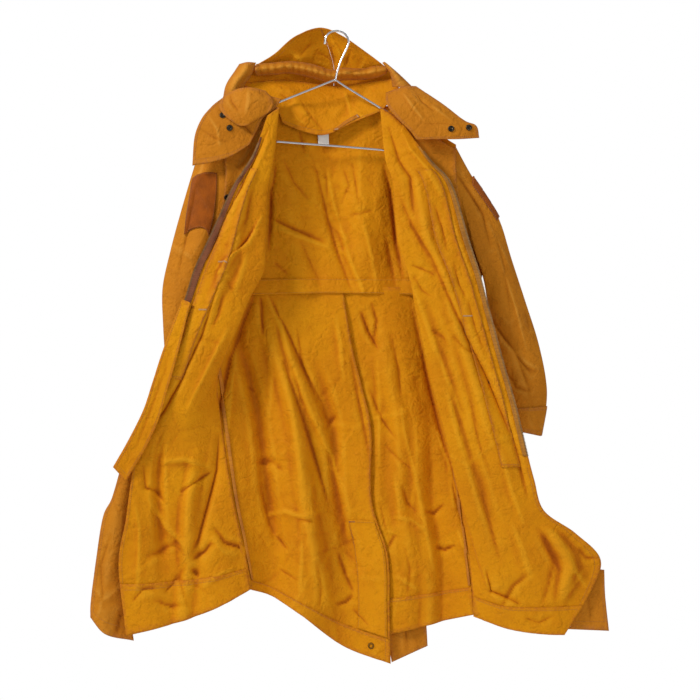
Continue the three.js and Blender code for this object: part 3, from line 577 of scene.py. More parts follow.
def castZinc():
    # Zip teeth of a zinc alloy, tinted by the dye bath and dulled by use.
    material, tree, sockets = newMaterial("zip_metal", {"Metallic": 0.85, "Roughness": 0.42})
    where = addNode(tree, "TexCoord", {}, "Object")
    rubs = addNode(tree, "TexNoise", {"Vector": where, "Scale": 300.0, "Detail": 3.0})
    tone = addNode(tree, "Mix", {"data_type": "RGBA", 0: rubs, 6: linear(0x6E5236), 7: linear(0xA08054)}, 2)
    tree.links.new(tone, sockets["Base Color"])
    return material


chrome = polishedChrome()
brass = oxidisedBrass("blackened_brass", 0x2B2620, 0x6A5A44, 0.38)
dullBrass = oxidisedBrass("dulled_brass", 0x7A5218, 0xA87830, 0.6)
satin = wovenSatin()
zipMetal = castZinc()
insideOut = (canvasInside, canvasOutside)  # the face at side, then the other face
outsideIn = (canvasOutside, canvasInside)
print("materials made")


# each armhole by the (x, z) of its top and its pit, and how far the front and the back bulge along it
armholes = {
    "right": dict(top=(-214, -160), pit=(-254, -428), bow=32),
    "left": dict(top=(208, -206), pit=(254, -425), bow=-14),
}
armholeDepth = {"front": 13, "back": 17}


def armholeAt(side, share):
    # a point of an armhole, a share of the way down it, and how far it bulges there
    hole = armholes[side]
    bulge = math.sin(math.pi * share)
    x = hole["top"][0] + (hole["pit"][0] - hole["top"][0]) * share + hole["bow"] * bulge
    z = hole["top"][1] + (hole["pit"][1] - hole["top"][1]) * share
    return x, z, max(bulge, 0) ** 0.8


def backRow(share, x, y, z):
    # a section of the back from armhole to armhole
    (x0, z0, bulge), (x1, z1, _) = armholeAt("right", share), armholeAt("left", share)
    depth = sleeveEdge + armholeDepth["back"] * bulge
    return dict(x=[x0, *x, x1], y=[depth, *y, depth], z=[z0, *z, z1])


def topRow(side, share, x, y, z):
    # a section of a front from its armhole to the zip's edge
    x0, z0, bulge = armholeAt(side, share)
    return dict(x=[x0, *x], y=[-sleeveEdge - armholeDepth["front"] * bulge, *y], z=[z0, *z])


backUpper = dict(
    rows=[
        backRow(0, x=[-128, -12, 100], y=[13, 28, 13], z=[-126, -148, -142]),
        backRow(0.25, x=[-116, -12, 92], y=[18, 26, 18], z=[-208, -214, -216]),
        backRow(0.5, x=[-112, -10, 90], y=[22, 28, 22], z=[-286, -288, -290]),
        backRow(0.75, x=[-114, -8, 95], y=[26, 33, 26], z=[-358, -358, -358]),
        backRow(1, x=[-116, -4, 100], y=[26, 34, 26], z=[-424, -424, -424]),
        dict(x=[-246, -120, 0, 105, 243], y=[5, 24, 30, 24, 5], z=[-476, -472, -470, -472, -476]),
    ],
    folds=[
        dict(at=0.46, to=0.56, start=0.0, until=0.8, width=0.07, depth=6),
        dict(at=0.62, to=0.64, start=0.1, until=0.9, width=0.07, depth=-6),
        dict(at=0.3, to=0.36, start=0.3, until=1, width=0.09, depth=-7),
        dict(at=0.78, to=0.74, start=0.2, until=1, width=0.08, depth=7),
    ],
    creases=[
        crease(-9, 10, [(-50, -210), (-35, -265), (-20, -330), (0, -400), (30, -480)], 0.3),
        crease(5, 9, [(-25, -215), (-10, -300), (15, -385), (40, -465)], 0.5),
        crease(-5, 8, [(-100, -225), (-80, -270), (-50, -305)], 0.3),
        crease(-7, 6, [(-130, -330), (-80, -355), (-20, -380)], 0.5),
        crease(4, 6, [(-120, -350), (-60, -370), (-10, -390)]),
        crease(-4, 6, [(25, -230), (35, -290), (40, -320)], 0.4),
        crease(-3, 4, [(20, -330), (65, -320)]),
        crease(4, 8, [(45, -335), (60, -400), (70, -455)], 0.5),
        crease(5, 7, [(10, -390), (40, -450), (50, -480)], 0.5),
        crease(-5, 9, [(85, -360), (95, -415), (105, -460)], 0.3),
        crease(-4, 9, [(-70, -370), (-50, -415), (-30, -460)], 0.3),
        crease(-5, 5, [(-70, -175), (-60, -220)], 0.3),
        crease(-2, 3, [(-20, -230), (-20, -300)]),
        crease(5, 12, [(-120, -250), (-115, -320), (-120, -390)], 0.5),
        crease(-3, 5, [(5, -230), (20, -275), (5, -310)], 0.3),
        crease(3, 6, [(-15, -330), (5, -360), (25, -385)], 0.3),
        crease(-3, 5, [(-115, -415), (-85, -440)]),
        crease(-8, 4, [(-110, -235), (-120, -290), (-125, -400)]),
        crease(-5, 14, [(-175, -155), (-200, -175), (-185, -195)]),  # over the hanger's two ends
        crease(-5, 14, [(165, -190), (190, -215), (175, -228)]),
        crease(-8, 4, [(80, -230), (95, -285), (105, -375), (120, -450)]),
    ],
    seed=3,
)
tailRight = dict(
    rows=[
        dict(x=[-247, -182, -117, -53, 9], y=[7, 22, 27, 30, 32], z=[-468, -466, -464, -463, -462]),
        dict(x=[-232, -168, -104, -40, 26], y=[10, 30, 24, 30, 30], z=[-560, -562, -564, -566, -568]),
        dict(x=[-222, -155, -87, -20, 44], y=[12, 34, 22, 34, 32], z=[-625, -630, -634, -638, -642]),
        dict(x=[-212, -144, -76, -8, 60], y=[13, 34, 20, 36, 30], z=[-700, -706, -712, -716, -718]),
        dict(x=[-193, -130, -68, -4, 61], y=[13, 36, 16, 38, 26], z=[-836, -840, -843, -845, -846]),
        dict(x=[-176, -120, -58, 10, 90], y=[12, 38, 10, 36, 18], z=[-914, -924, -934, -940, -944]),
        dict(x=[-165, -118, -56, 16, 93], y=[10, 38, 6, 34, 14], z=[-968, -985, -1008, -1030, -1050]),
        dict(x=[-158, -119, -66, 8, 95], y=[8, 34, 4, 30, 12], z=[-1004, -1019, -1050, -1108, -1138]),
    ],
    folds=[
        dict(at=0.2, to=0.3, start=0.05, until=0.75, width=0.08, depth=12),
        dict(at=0.42, to=0.62, start=0.03, until=0.95, width=0.09, depth=-12),
        dict(at=0.7, to=0.8, start=0.15, until=0.8, width=0.08, depth=10),
    ],
    creases=[
        crease(-16, 9, [(-145, -460), (-170, -520), (-195, -590), (-215, -680), (-225, -780)]),
        crease(-9, 5, [(-140, -475), (-135, -550)], 0.3),
        crease(7, 9, [(-140, -450), (-100, -540), (-60, -660), (-10, -770), (15, -880)], 0.6),
        crease(-10, 7, [(-130, -465), (-85, -555), (-45, -650), (-20, -710)], 0.3),
        crease(-12, 8, [(-100, -590), (-70, -680), (-45, -760), (-10, -880)], 0.3),
        crease(-6, 6, [(-75, -530), (-65, -600), (-30, -670), (-15, -715)], 0.4),
        crease(5, 8, [(-110, -480), (-95, -570), (-70, -665)], 0.6),
        crease(5, 8, [(-5, -505), (5, -570), (10, -640)], 0.6),
        crease(-6, 8, [(20, -565), (35, -650), (50, -730), (60, -790)], 0.3),
        crease(5, 8, [(-175, -520), (-190, -590), (-200, -750)], -0.4),
        crease(5, 8, [(-100, -610), (-80, -700), (-65, -820)], 0.5),
        crease(-5, 6, [(-150, -780), (-120, -775), (-95, -795)], 0.3),
        crease(-8, 9, [(-145, -775), (-140, -830), (-125, -890), (-110, -915)], 0.3),
        crease(5, 5, [(-135, -875), (-95, -865), (-60, -875), (-20, -860)]),
        crease(-4, 4, [(-70, -875), (-40, -885)]),
        crease(-7, 5, [(-110, -910), (-90, -935)]),
        crease(5, 8, [(-65, -880), (-65, -950), (-70, -1010)], 0.5),
        crease(6, 7, [(0, -795), (15, -850), (20, -920)], 0.5),
        crease(-7, 6, [(-5, -930), (15, -985), (30, -1015)], 0.3),
        crease(-5, 4, [(30, -1015), (15, -1030), (-5, -1035)]),
        crease(-4, 4, [(-105, -970), (-70, -990)]),
        crease(-1.5, 3, [(-65, -950), (0, -930), (45, -910)]),
        crease(-4, 5, [(-40, -950), (-30, -1000), (-35, -1045)], 0.3),
        crease(4, 7, [(-50, -790), (-50, -845), (-40, -905)], 0.4),
        crease(-4, 4, [(-25, -720), (-10, -700), (0, -690)]),
        crease(4, 6, [(-125, -560), (-120, -630), (-125, -700)], 0.4),
        crease(-3, 4, [(-165, -640), (-150, -650)]),
        crease(-4, 6, [(25, -1040), (60, -1075)], 0.3),
    ],
    seed=3,
)
tailLeft = dict(
    rows=[
        dict(x=[-2, 74, 145, 245], y=[36, 29, 24, 7], z=[-462, -464, -466, -468]),
        dict(x=[14, 84, 150, 228], y=[41, 28, 34, 9], z=[-568, -568, -566, -562]),
        dict(x=[46, 104, 160, 213], y=[45, 25, 38, 9], z=[-700, -702, -702, -700]),
        dict(x=[48, 106, 164, 214], y=[43, 24, 40, 10], z=[-780, -781, -780, -778]),
        dict(x=[48, 106, 168, 222], y=[38, 20, 40, 10], z=[-846, -846, -845, -842]),
        dict(x=[72, 124, 186, 236], y=[32, 16, 36, 9], z=[-960, -958, -956, -950]),
        dict(x=[76, 130, 188, 247], y=[27, 14, 32, 8], z=[-1090, -1078, -1064, -1049]),
    ],
    folds=[
        dict(at=0.2, to=0.3, start=0.1, until=0.9, width=0.14, depth=9),
        dict(at=0.6, to=0.55, start=0.25, until=1, width=0.13, depth=-9),
    ],
    creases=[
        crease(-10, 6, [(40, -500), (55, -540), (75, -575)], 0.3),
        crease(-6, 5, [(60, -485), (70, -520), (65, -565)], 0.3),
        crease(-5, 5, [(55, -640), (80, -700), (110, -740)], 0.4),
        crease(-4, 4, [(85, -745), (110, -770), (135, -790)]),
        crease(5, 9, [(110, -640), (120, -720), (140, -800), (160, -900), (180, -1000)], 0.5),
        crease(-12, 9, [(150, -580), (170, -660), (190, -740), (210, -830), (240, -940)], -0.3),
        crease(7, 6, [(180, -720), (200, -780), (210, -860)], 0.5),
        crease(-5, 6, [(115, -815), (125, -850), (145, -870)], 0.3),
        crease(-5, 4, [(155, -865), (175, -870), (195, -850)]),
        crease(4, 5, [(100, -875), (135, -880), (165, -905)]),
        crease(-6, 4, [(175, -930), (195, -935), (215, -925)]),
        crease(5, 6, [(215, -895), (225, -925), (245, -960)], 0.3),
        crease(-5, 5, [(90, -935), (105, -905)]),
        crease(5, 9, [(70, -580), (75, -650), (75, -790)], 0.5),
        crease(-6, 9, [(95, -540), (110, -610), (115, -680)], 0.3),
        crease(4, 7, [(100, -790), (110, -850), (110, -900)], 0.4),
        crease(-4, 5, [(75, -845), (85, -890), (95, -925)], 0.3),
        crease(-4, 6, [(120, -925), (130, -970), (125, -1020)], 0.3),
        crease(4, 6, [(105, -980), (150, -1010)], 0.3),
        crease(-8, 4, [(130, -480), (170, -650), (210, -800), (235, -900), (255, -980)]),
    ],
    seed=3,
)
ventUnderlap = dict(
    rows=[
        dict(x=[86, 120, 156], y=[28, 26, 28], z=[-1040, -1036, -1030]),
        dict(x=[90, 124, 160], y=[26, 23, 26], z=[-1090, -1082, -1072]),
        dict(x=[97, 130, 162], y=[22, 20, 24], z=[-1137, -1122, -1108]),
    ],
    creases=[crease(-3, 6, [(120, -1040), (125, -1125)], 0.5)],
    seed=3,
)

backParts = {
    "back_upper": dict(on=backUpper, size=(0.47, 0.34), area=(-0.01, 1.01, -0.02, 1.0)),
    "back_tail_right": dict(on=tailRight, size=(0.27, 0.62), area=(-0.02, 1, -0.01, 1)),
    "back_tail_left": dict(on=tailLeft, size=(0.22, 0.61), area=(0, 1.02, -0.01, 1)),
}
surfaces = {}


def panel(key, on, cloth, **how):
    # a sheet or tube of cloth on a surface of its own, which is kept for what is sewn to it
    surfaces[key] = surface(**on)
    clothPiece(key, surfaces[key], cloth, **how)


for key, part in backParts.items():
    panel(key, cloth=insideOut, **part)
panel("vent_underlap", ventUnderlap, outsideIn, size=(0.075, 0.1), spacing=3.6)
print("back made")


frontRight = dict(
    rows=[
        topRow("right", 0.02, x=[-165, -108, -116, -126], y=[-7, -17, -25, -28], z=[-142, -138, -146, -154]),
        topRow("right", 0.25, x=[-170, -116, -130, -151], y=[-9, -24, -35, -36], z=[-232, -228, -226, -223]),
        topRow("right", 0.48, x=[-174, -126, -152, -186], y=[-11, -27, -40, -38], z=[-290, -285, -284, -282]),
        topRow("right", 0.7, x=[-182, -129, -166, -213], y=[-11, -29, -44, -40], z=[-345, -344, -342, -338]),
        topRow("right", 0.9, x=[-190, -130, -176, -236], y=[-11, -31, -46, -42], z=[-396, -394, -392, -388]),
        dict(x=[-251, -194, -134, -188, -256], y=[-1, -10, -32, -47, -43], z=[-438, -436, -434, -432, -430]),
        dict(x=[-243, -202, -160, -212, -272], y=[1, -8, -32, -46, -41], z=[-490, -488, -484, -483, -482]),
        dict(x=[-233, -212, -187, -240, -294], y=[5, -6, -30, -42, -38], z=[-552, -550, -547, -546, -545]),
        dict(x=[-222, -216, -223, -268, -315], y=[7, -8, -26, -38, -36], z=[-622, -620, -618, -617, -615]),
        dict(x=[-214, -228, -258, -298, -336], y=[8, -4, -24, -32, -32], z=[-686, -684, -682, -680, -677]),
        dict(x=[-207, -242, -284, -324, -360], y=[9, -2, -16, -26, -28], z=[-744, -742, -740, -738, -735]),
        dict(x=[-198, -243, -290, -334, -370], y=[9, 0, -14, -22, -30], z=[-808, -810, -811, -811, -810]),
        dict(x=[-187, -238, -290, -338, -379], y=[9, -6, -10, -22, -32], z=[-868, -871, -874, -876, -877]),
        dict(x=[-169, -225, -283, -340, -392], y=[8, -10, -4, -24, -30], z=[-948, -954, -957, -958, -956]),
        dict(
            x=[-158, -221, -280, -332, -379], y=[5, -12, -2, -24, -26], z=[-1004, -1037, -1059, -1073, -1084]
        ),
    ],
    folds=[
        dict(at=0.8, to=0.78, start=0.1, until=0.5, width=0.07, depth=-6),
        dict(at=0.3, to=0.5, start=0.72, until=1, width=0.1, depth=-12),
        dict(at=0.72, to=0.62, start=0.68, until=0.96, width=0.09, depth=10),
    ],
    creases=[
        crease(-6, 3, [(-250, -470), (-285, -570), (-315, -650), (-350, -720)], 0, onRoll),
        crease(-9, 4, [(-315, -650), (-350, -720), (-375, -755), (-390, -790)], 0, onRoll),
        crease(-6, 3, [(-215, -460), (-245, -550), (-285, -635), (-320, -690)], 0, onRoll),
        crease(-9, 4, [(-270, -610), (-310, -680), (-345, -725), (-360, -780)], 0, onRoll),
        crease(6, 9, [(-195, -530), (-235, -610), (-275, -690)], 0.5, onRoll),
        crease(9, 5, [(-135, -330), (-160, -380), (-195, -410), (-210, -435), (-215, -465)], 0.8, onRoll),
        crease(-6, 5, [(-140, -345), (-180, -400), (-200, -440)], 0.3, onRoll),
        crease(-8, 4, [(-120, -170), (-170, -280), (-215, -370), (-235, -415)], 0, besideTape),
        crease(3, 3, [(-110, -175), (-150, -260), (-195, -335), (-225, -380)], 0, onRoll),
        crease(-14, 7, [(-140, -160), (-140, -185), (-160, -215), (-180, -245)], 0, underRoll),
        crease(5, 12, [(-170, -240), (-185, -330), (-200, -385)], 0.2, onRoll),
        crease(-5, 6, [(-155, -285), (-165, -340), (-185, -375)], 0.4, onRoll),
        crease(4, 7, [(-160, -395), (-175, -440), (-190, -485)], 0.4, onRoll),
        crease(-4, 5, [(-205, -465), (-215, -510), (-230, -540)], 0.3, onRoll),
        crease(-12, 6, [(-215, -720), (-220, -790), (-230, -830), (-250, -910), (-270, -950)], 0.2),
        crease(-8, 4, [(-225, -790), (-250, -805), (-285, -830)]),
        crease(6, 8, [(-320, -775), (-275, -770), (-230, -785)], 0.4),
        crease(-6, 5, [(-350, -775), (-345, -820), (-330, -825), (-305, -850)], 0.3),
        crease(6, 10, [(-345, -830), (-310, -890), (-280, -920), (-265, -950)], 0.6),
        crease(-8, 5, [(-265, -950), (-240, -935), (-225, -915)]),
        crease(-7, 4, [(-265, -965), (-250, -980)]),
        crease(-5, 7, [(-285, -915), (-315, -930), (-345, -945)], 0.3),
        crease(-5, 4, [(-370, -1025), (-350, -1000), (-325, -1000)]),
        crease(-5, 4, [(-315, -1010), (-285, -980)]),
        crease(-6, 9, [(-270, -950), (-285, -980), (-270, -1040)], 0.3),
        crease(-8, 6, [(-225, -890), (-205, -920), (-175, -930), (-155, -950)], 0.2),
        crease(5, 7, [(-225, -905), (-205, -935), (-180, -945)]),
        crease(5, 8, [(-365, -835), (-355, -895), (-360, -1020)], 0.4),
        crease(-5, 6, [(-200, -640), (-205, -720), (-195, -800)], 0.3),
        crease(4, 7, [(-305, -710), (-320, -745), (-330, -790)], 0.4),
        crease(-4, 5, [(-335, -1020), (-300, -1035), (-270, -1030)], 0.3),
        crease(4, 6, [(-245, -1000), (-220, -980), (-185, -965)], 0.3),
    ],
    seed=3,
)
frontLeft = dict(
    rows=[
        topRow("left", 0.02, x=[150, 78, 97, 119], y=[-7, -13, -18, -20], z=[-176, -139, -152, -172]),
        topRow("left", 0.2, x=[158, 86, 120, 166], y=[-9, -22, -31, -29], z=[-236, -230, -231, -236]),
        topRow("left", 0.36, x=[166, 99, 142, 203], y=[-11, -26, -37, -33], z=[-284, -276, -276, -278]),
        topRow("left", 0.77, x=[180, 108, 160, 232], y=[-12, -28, -41, -37], z=[-378, -374, -374, -374]),
        dict(x=[250, 190, 128, 186, 254], y=[-1, -10, -28, -42, -38], z=[-448, -447, -444, -443, -442]),
        dict(x=[236, 192, 141, 206, 272], y=[1, -8, -28, -42, -38], z=[-515, -512, -508, -508, -510]),
        dict(x=[221, 196, 160, 228, 294], y=[3, -6, -28, -40, -38], z=[-595, -592, -590, -590, -590]),
        dict(x=[212, 200, 179, 248, 315], y=[4, -6, -27, -39, -38], z=[-668, -666, -664, -664, -664]),
        dict(x=[211, 206, 198, 266, 332], y=[5, -8, -26, -38, -38], z=[-738, -736, -733, -733, -733]),
        dict(x=[216, 214, 216, 285, 350], y=[5, -9, -25, -36, -38], z=[-806, -805, -803, -803, -803]),
        dict(x=[224, 226, 232, 300, 368], y=[5, -9, -25, -36, -36], z=[-862, -861, -859, -859, -859]),
        dict(x=[231, 238, 248, 328, 425], y=[5, -8, -25, -34, -30], z=[-905, -905, -905, -902, -900]),
        dict(x=[238, 250, 266, 362, 470], y=[4, -8, -26, -32, -28], z=[-950, -952, -955, -954, -948]),
        dict(x=[243, 266, 292, 372, 450], y=[2, -14, -28, -30, -30], z=[-1000, -1006, -1012, -1012, -1008]),
        dict(x=[247, 301, 345, 378, 405], y=[0, -16, -26, -28, -28], z=[-1053, -1071, -1078, -1081, -1082]),
    ],
    folds=[
        dict(at=0.74, to=0.78, start=0.08, until=0.62, width=0.06, depth=-6),
        dict(at=0.9, to=0.84, start=0.76, until=0.95, width=0.05, depth=-10),
        dict(at=0.62, to=0.66, start=0.3, until=0.8, width=0.06, depth=6),
    ],
    creases=[
        crease(-9, 8, [(90, -170), (110, -235), (130, -265), (135, -335)], 0.3, onRoll),
        crease(-11, 7, [(105, -285), (135, -355), (170, -410), (210, -505), (265, -620), (325, -770)],
               -0.3, onRoll),
        crease(5, 7, [(110, -170), (130, -215), (160, -250), (195, -315)], 0.4, onRoll),
        crease(5, 9, [(95, -335), (130, -450), (175, -570), (225, -700), (255, -805)], 0.5, onRoll),
        crease(-5, 5, [(170, -310), (185, -355), (195, -400)], 0.3, onRoll),
        crease(-5, 5, [(205, -415), (215, -455), (230, -485)], 0.3, onRoll),
        crease(-4, 4, [(130, -420), (155, -430), (175, -440)], 0, onRoll),
        crease(-3, 4, [(135, -440), (150, -465), (170, -480)], 0, onRoll),
        crease(4, 6, [(200, -330), (220, -390), (240, -455)], 0.4, onRoll),
        crease(-4, 6, [(230, -480), (245, -535), (265, -585)], 0.3, onRoll),
        crease(-9, 6, [(250, -580), (285, -660), (310, -720), (340, -840)], -0.2, onRoll),
        crease(-5, 5, [(205, -545), (225, -570), (255, -585)], 0.3, onRoll),
        crease(-4, 5, [(165, -535), (190, -550), (200, -575)], 0, onRoll),
        crease(4, 7, [(185, -590), (200, -660), (220, -750)], 0.4, onRoll),
        crease(5, 8, [(275, -610), (300, -690), (320, -750)]),
        crease(-4, 6, [(235, -660), (250, -735), (275, -805)], 0.3),
        crease(-4, 6, [(255, -825), (275, -895), (290, -950)], 0.3),
        crease(5, 8, [(290, -750), (310, -825), (335, -890)], 0.5),
        crease(-10, 6, [(265, -965), (275, -1005), (300, -1015), (330, -1030)], 0.5),
        crease(6, 5, [(380, -890), (395, -920), (415, -955), (445, -1000)], 0.5),
        crease(-5, 5, [(365, -900), (380, -935), (400, -970)], 0.3),
        crease(4, 6, [(310, -880), (330, -930), (345, -985)], 0.4),
        crease(-5, 5, [(290, -1040), (315, -995), (345, -970)], 0.3),
        crease(-3, 5, [(365, -1035), (380, -980), (390, -930)], 0.3),
        crease(4, 5, [(400, -1020), (420, -995), (440, -965)], 0.3),
        crease(-5, 4, [(430, -925), (445, -945), (465, -945)], 0.2),
        crease(-4, 5, [(330, -1050), (360, -1060), (390, -1045)]),
    ],
    seed=3,
)
stormFlap = dict(
    rows=[
        dict(x=[-277, -262], y=[-47, -50], z=[-482, -488]),
        dict(x=[-311, -284], y=[-46, -49], z=[-572, -578]),
        dict(x=[-330, -302], y=[-44, -46], z=[-630, -640]),
        dict(x=[-347, -318], y=[-42, -42], z=[-680, -694]),
        dict(x=[-374, -345], y=[-40, -38], z=[-734, -752]),
        dict(x=[-401, -378], y=[-38, -36], z=[-781, -806]),
    ],
    creases=[crease(-3, 6, [(-300, -590), (-330, -670), (-365, -760)], 0.4)],
    seed=3,
)
placketRight = dict(
    rows=[
        dict(x=[-390, -372, -346], y=[-12, -16, -2], z=[-786, -788, -790]),
        dict(x=[-405, -389, -362], y=[-18, -22, -2], z=[-838, -844, -850]),
        dict(x=[-421, -396, -366], y=[-18, -24, 0], z=[-872, -878, -884]),
        dict(x=[-434, -408, -374], y=[-16, -24, 2], z=[-950, -952, -960]),
        dict(x=[-443, -416, -376], y=[-14, -22, 3], z=[-1022, -1026, -1034]),
        dict(x=[-444, -416, -368], y=[-12, -18, 4], z=[-1052, -1082, -1096]),
    ],
    creases=[
        crease(-4, 7, [(-405, -900), (-425, -960), (-420, -1040)], 0.5),
        crease(4, 9, [(-385, -860), (-390, -960), (-390, -1070)], -0.4),
        crease(-5, 8, [(-390, -1040), (-400, -1090)], 0.4),
    ],
    seed=17,
)
placketLeft = dict(
    rows=[
        dict(x=[436, 477], y=[-12, -15], z=[-962, -966]),
        dict(x=[425, 478], y=[-12, -14], z=[-1000, -1000]),
        dict(x=[410, 480], y=[-12, -13], z=[-1028, -1024]),
        dict(x=[392, 486], y=[-13, -13], z=[-1072, -1076]),
    ],
    creases=[crease(-3, 7, [(440, -960), (455, -1070)], 0.4)],
    seed=19,
)

frontParts = {
    "front_right": dict(on=frontRight, size=(0.24, 0.93), cut=0.18),
    "front_left": dict(on=frontLeft, size=(0.26, 0.91), cut=0.21),
}
for key, part in frontParts.items():
    panel(key, cloth=insideOut, area=(-0.015, 1, 0, 1), spacing=3.1, side=(0.5, 0.9), **part)
panel("storm_flap", stormFlap, insideOut, size=(0.04, 0.33), spacing=2.8)
panel("placket_right", placketRight, outsideIn, size=(0.07, 0.26), spacing=2.8)
panel("placket_left", placketLeft, outsideIn, size=(0.08, 0.11), spacing=2.8)
print("fronts made")


sleeveRight = dict(
    rows=[
        dict(outer=[-214 - sleeveGap, -160], inner=[-254 - sleeveGap, -428], bow=32, y=0, front=13, back=17),
        dict(outer=[-246, -205], inner=[-262, -446], bow=26, y=3, front=16, back=20),
        dict(outer=[-265, -262], inner=[-266, -468], bow=18, y=8, front=18, back=22),
        dict(outer=[-284, -325], inner=[-268, -495], bow=10, y=14, front=18, back=24),
        dict(outer=[-302, -392], inner=[-268, -530], bow=4, y=20, front=18, back=26),
        dict(outer=[-317, -460], inner=[-266, -570], bow=0, y=24, front=18, back=26),
        dict(outer=[-316, -530], inner=[-263, -615], bow=0, y=26, front=18, back=24),
        dict(outer=[-312, -600], inner=[-260, -660], bow=0, y=28, front=18, back=24),
        dict(outer=[-311, -670], inner=[-258, -700], bow=0, y=28, front=18, back=22),
        dict(outer=[-310, -740], inner=[-256, -736], bow=0, y=28, front=18, back=22),
    ],
    creases=[
        crease(5, 9, [(-230, -200), (-260, -290), (-280, -380)], 0.5),
        crease(-5, 8, [(-250, -260), (-270, -360), (-290, -450)], 0.4),
        crease(5, 8, [(-260, -480), (-280, -560), (-285, -640)], 0.5),
        crease(-4, 7, [(-300, -540), (-275, -600), (-270, -640)], 0.4),
        crease(-4, 6, [(-310, -600), (-290, -640), (-260, -650)], 0.4),
    ],
    tube=True,
    seed=21,
)
sleeveLeft = dict(
    rows=[
        dict(outer=[208 + sleeveGap, -206], inner=[254 + sleeveGap, -425], bow=-14, y=0, front=13, back=17),
        dict(outer=[236, -252], inner=[262, -442], bow=-9, y=3, front=15, back=20),
        dict(outer=[264, -294], inner=[266, -462], bow=-5, y=7, front=16, back=22),
        dict(outer=[292, -342], inner=[270, -488], bow=0, y=11, front=17, back=24),
        dict(outer=[314, -412], inner=[274, -520], bow=0, y=14, front=18, back=26),
        dict(outer=[338, -486], inner=[279, -560], bow=0, y=16, front=18, back=26),
        dict(outer=[360, -556], inner=[285, -602], bow=0, y=18, front=18, back=24),
        dict(outer=[374, -622], inner=[289, -645], bow=0, y=18, front=17, back=22),
        dict(outer=[376, -668], inner=[291, -676], bow=0, y=18, front=16, back=20),
        dict(outer=[366, -728], inner=[292, -712], bow=0, y=18, front=15, back=18),
    ],
    creases=[
        crease(-8, 9, [(270, -505), (290, -540), (320, -580), (350, -620)], 0.5),
        crease(-8, 6, [(210, -255), (235, -290), (260, -330), (275, -395)], 0.3),
        crease(5, 9, [(220, -290), (245, -390), (270, -480)], 0.5),
        crease(-5, 8, [(265, -320), (285, -370), (300, -430), (310, -520)], 0.4),
        crease(5, 8, [(285, -390), (320, -500), (340, -580)], 0.5),
        crease(-4, 7, [(320, -580), (345, -650)], 0.4),
        crease(4, 7, [(270, -340), (300, -400), (320, -450)], -0.4),
        crease(-4, 6, [(295, -600), (320, -640), (350, -650)], 0.4),
        crease(4, 6, [(300, -560), (340, -600), (365, -610)], 0.5),
        crease(-4, 6, [(335, -500), (345, -540)], 0.4),
    ],
    tube=True,
    seed=23,
)

for key, on in (("sleeve_right", sleeveRight), ("sleeve_left", sleeveLeft)):
    panel(key, on, outsideIn, area=(0, 1, -0.01, 1), size=(0.3, 0.5), side=(0.5, 0.25), tube=True, cut=0.085)
cuffTop = 0.9  # share of a sleeve's length
for side in ("right", "left"):
    clothPiece("cuff_" + side, surfaces["sleeve_" + side], outsideIn, area=(0, 1, cuffTop, 0.998),
               size=(0.2, 0.045), spacing=2.6, wall="sewn", lift=2.2, side=(0.5, 0.25), tube=True, swell=1.2)
ring = 1 / 9  # from one ring of a sleeve to the next
patches = {
    "right": dict(
        corners=[(0.02, 1.9 * ring), (0.145, 0.5 * ring), (0.35, 0.8 * ring), (0.1, 3.1 * ring)],
        size=(0.055, 0.11),
        cut=0.0055,
    ),
    "left": dict(
        corners=[(-0.03, 2.9 * ring), (-0.03, 1.2 * ring), (0.04, 1.2 * ring), (0.03, 2.8 * ring)],
        size=(0.036, 0.1),
        cut=0.0034,
    ),
}
for side, patch in patches.items():
    clothPiece("arm_patch_" + side, surfaces["sleeve_" + side], (loopPile, canvasInside), spacing=2.4,
               wall="double", lift=2.7, **patch)
print("sleeves made")


wingRight = dict(
    rows=[
        dict(x=[-209, -173, -138, -102], y=[2, -10, -14, -6], z=[-120, -116, -114, -122]),
        dict(x=[-226, -186, -146, -112], y=[-20, -24, -24, -22], z=[-137, -138, -138, -139]),
        dict(x=[-244, -204, -168, -134], y=[-28, -31, -31, -27], z=[-160, -162, -162, -158]),
        dict(x=[-256, -218, -182, -146], y=[-30, -33, -30, -24], z=[-192, -194, -190, -182]),
        dict(x=[-260, -224, -190, -158], y=[-30, -34, -32, -26], z=[-243, -237, -226, -205]),
    ],
    creases=[
        crease(-6, 7, [(-185, -160), (-165, -175), (-150, -190)], 0.4),
        crease(-2, 4, [(-250, -175), (-220, -195), (-190, -205)], 0.4),
        crease(3, 6, [(-235, -150), (-215, -180), (-210, -215)], 0.4),
    ],
    seed=25,
    sizes=[(60, 1.2), (28, 0.6)],
)
wingLeft = dict(
    rows=[
        dict(x=[86, 104, 122, 140], y=[2, -6, -8, 2], z=[-110, -104, -99, -98]),
        dict(x=[88, 120, 152, 186], y=[-24, -30, -32, -24], z=[-134, -131, -130, -132]),
        dict(x=[106, 146, 186, 226], y=[-34, -38, -38, -30], z=[-159, -158, -160, -163]),
        dict(x=[128, 168, 208, 247], y=[-38, -42, -42, -34], z=[-181, -178, -176, -173]),
        dict(x=[140, 177, 214, 252], y=[-38, -43, -42, -34], z=[-197, -197, -197, -194]),
    ],
    creases=[
        crease(4, 4, [(115, -110), (135, -140), (155, -165)], 0.5),
        crease(-4, 4, [(135, -105), (150, -130), (175, -150)], 0.4),
        crease(3, 5, [(165, -135), (185, -150), (205, -165)], 0.5),
        crease(-3, 4, [(150, -170), (190, -170), (230, -175)], 0.3),
    ],
    seed=27,
    sizes=[(50, 1.4), (24, 0.8)],
)
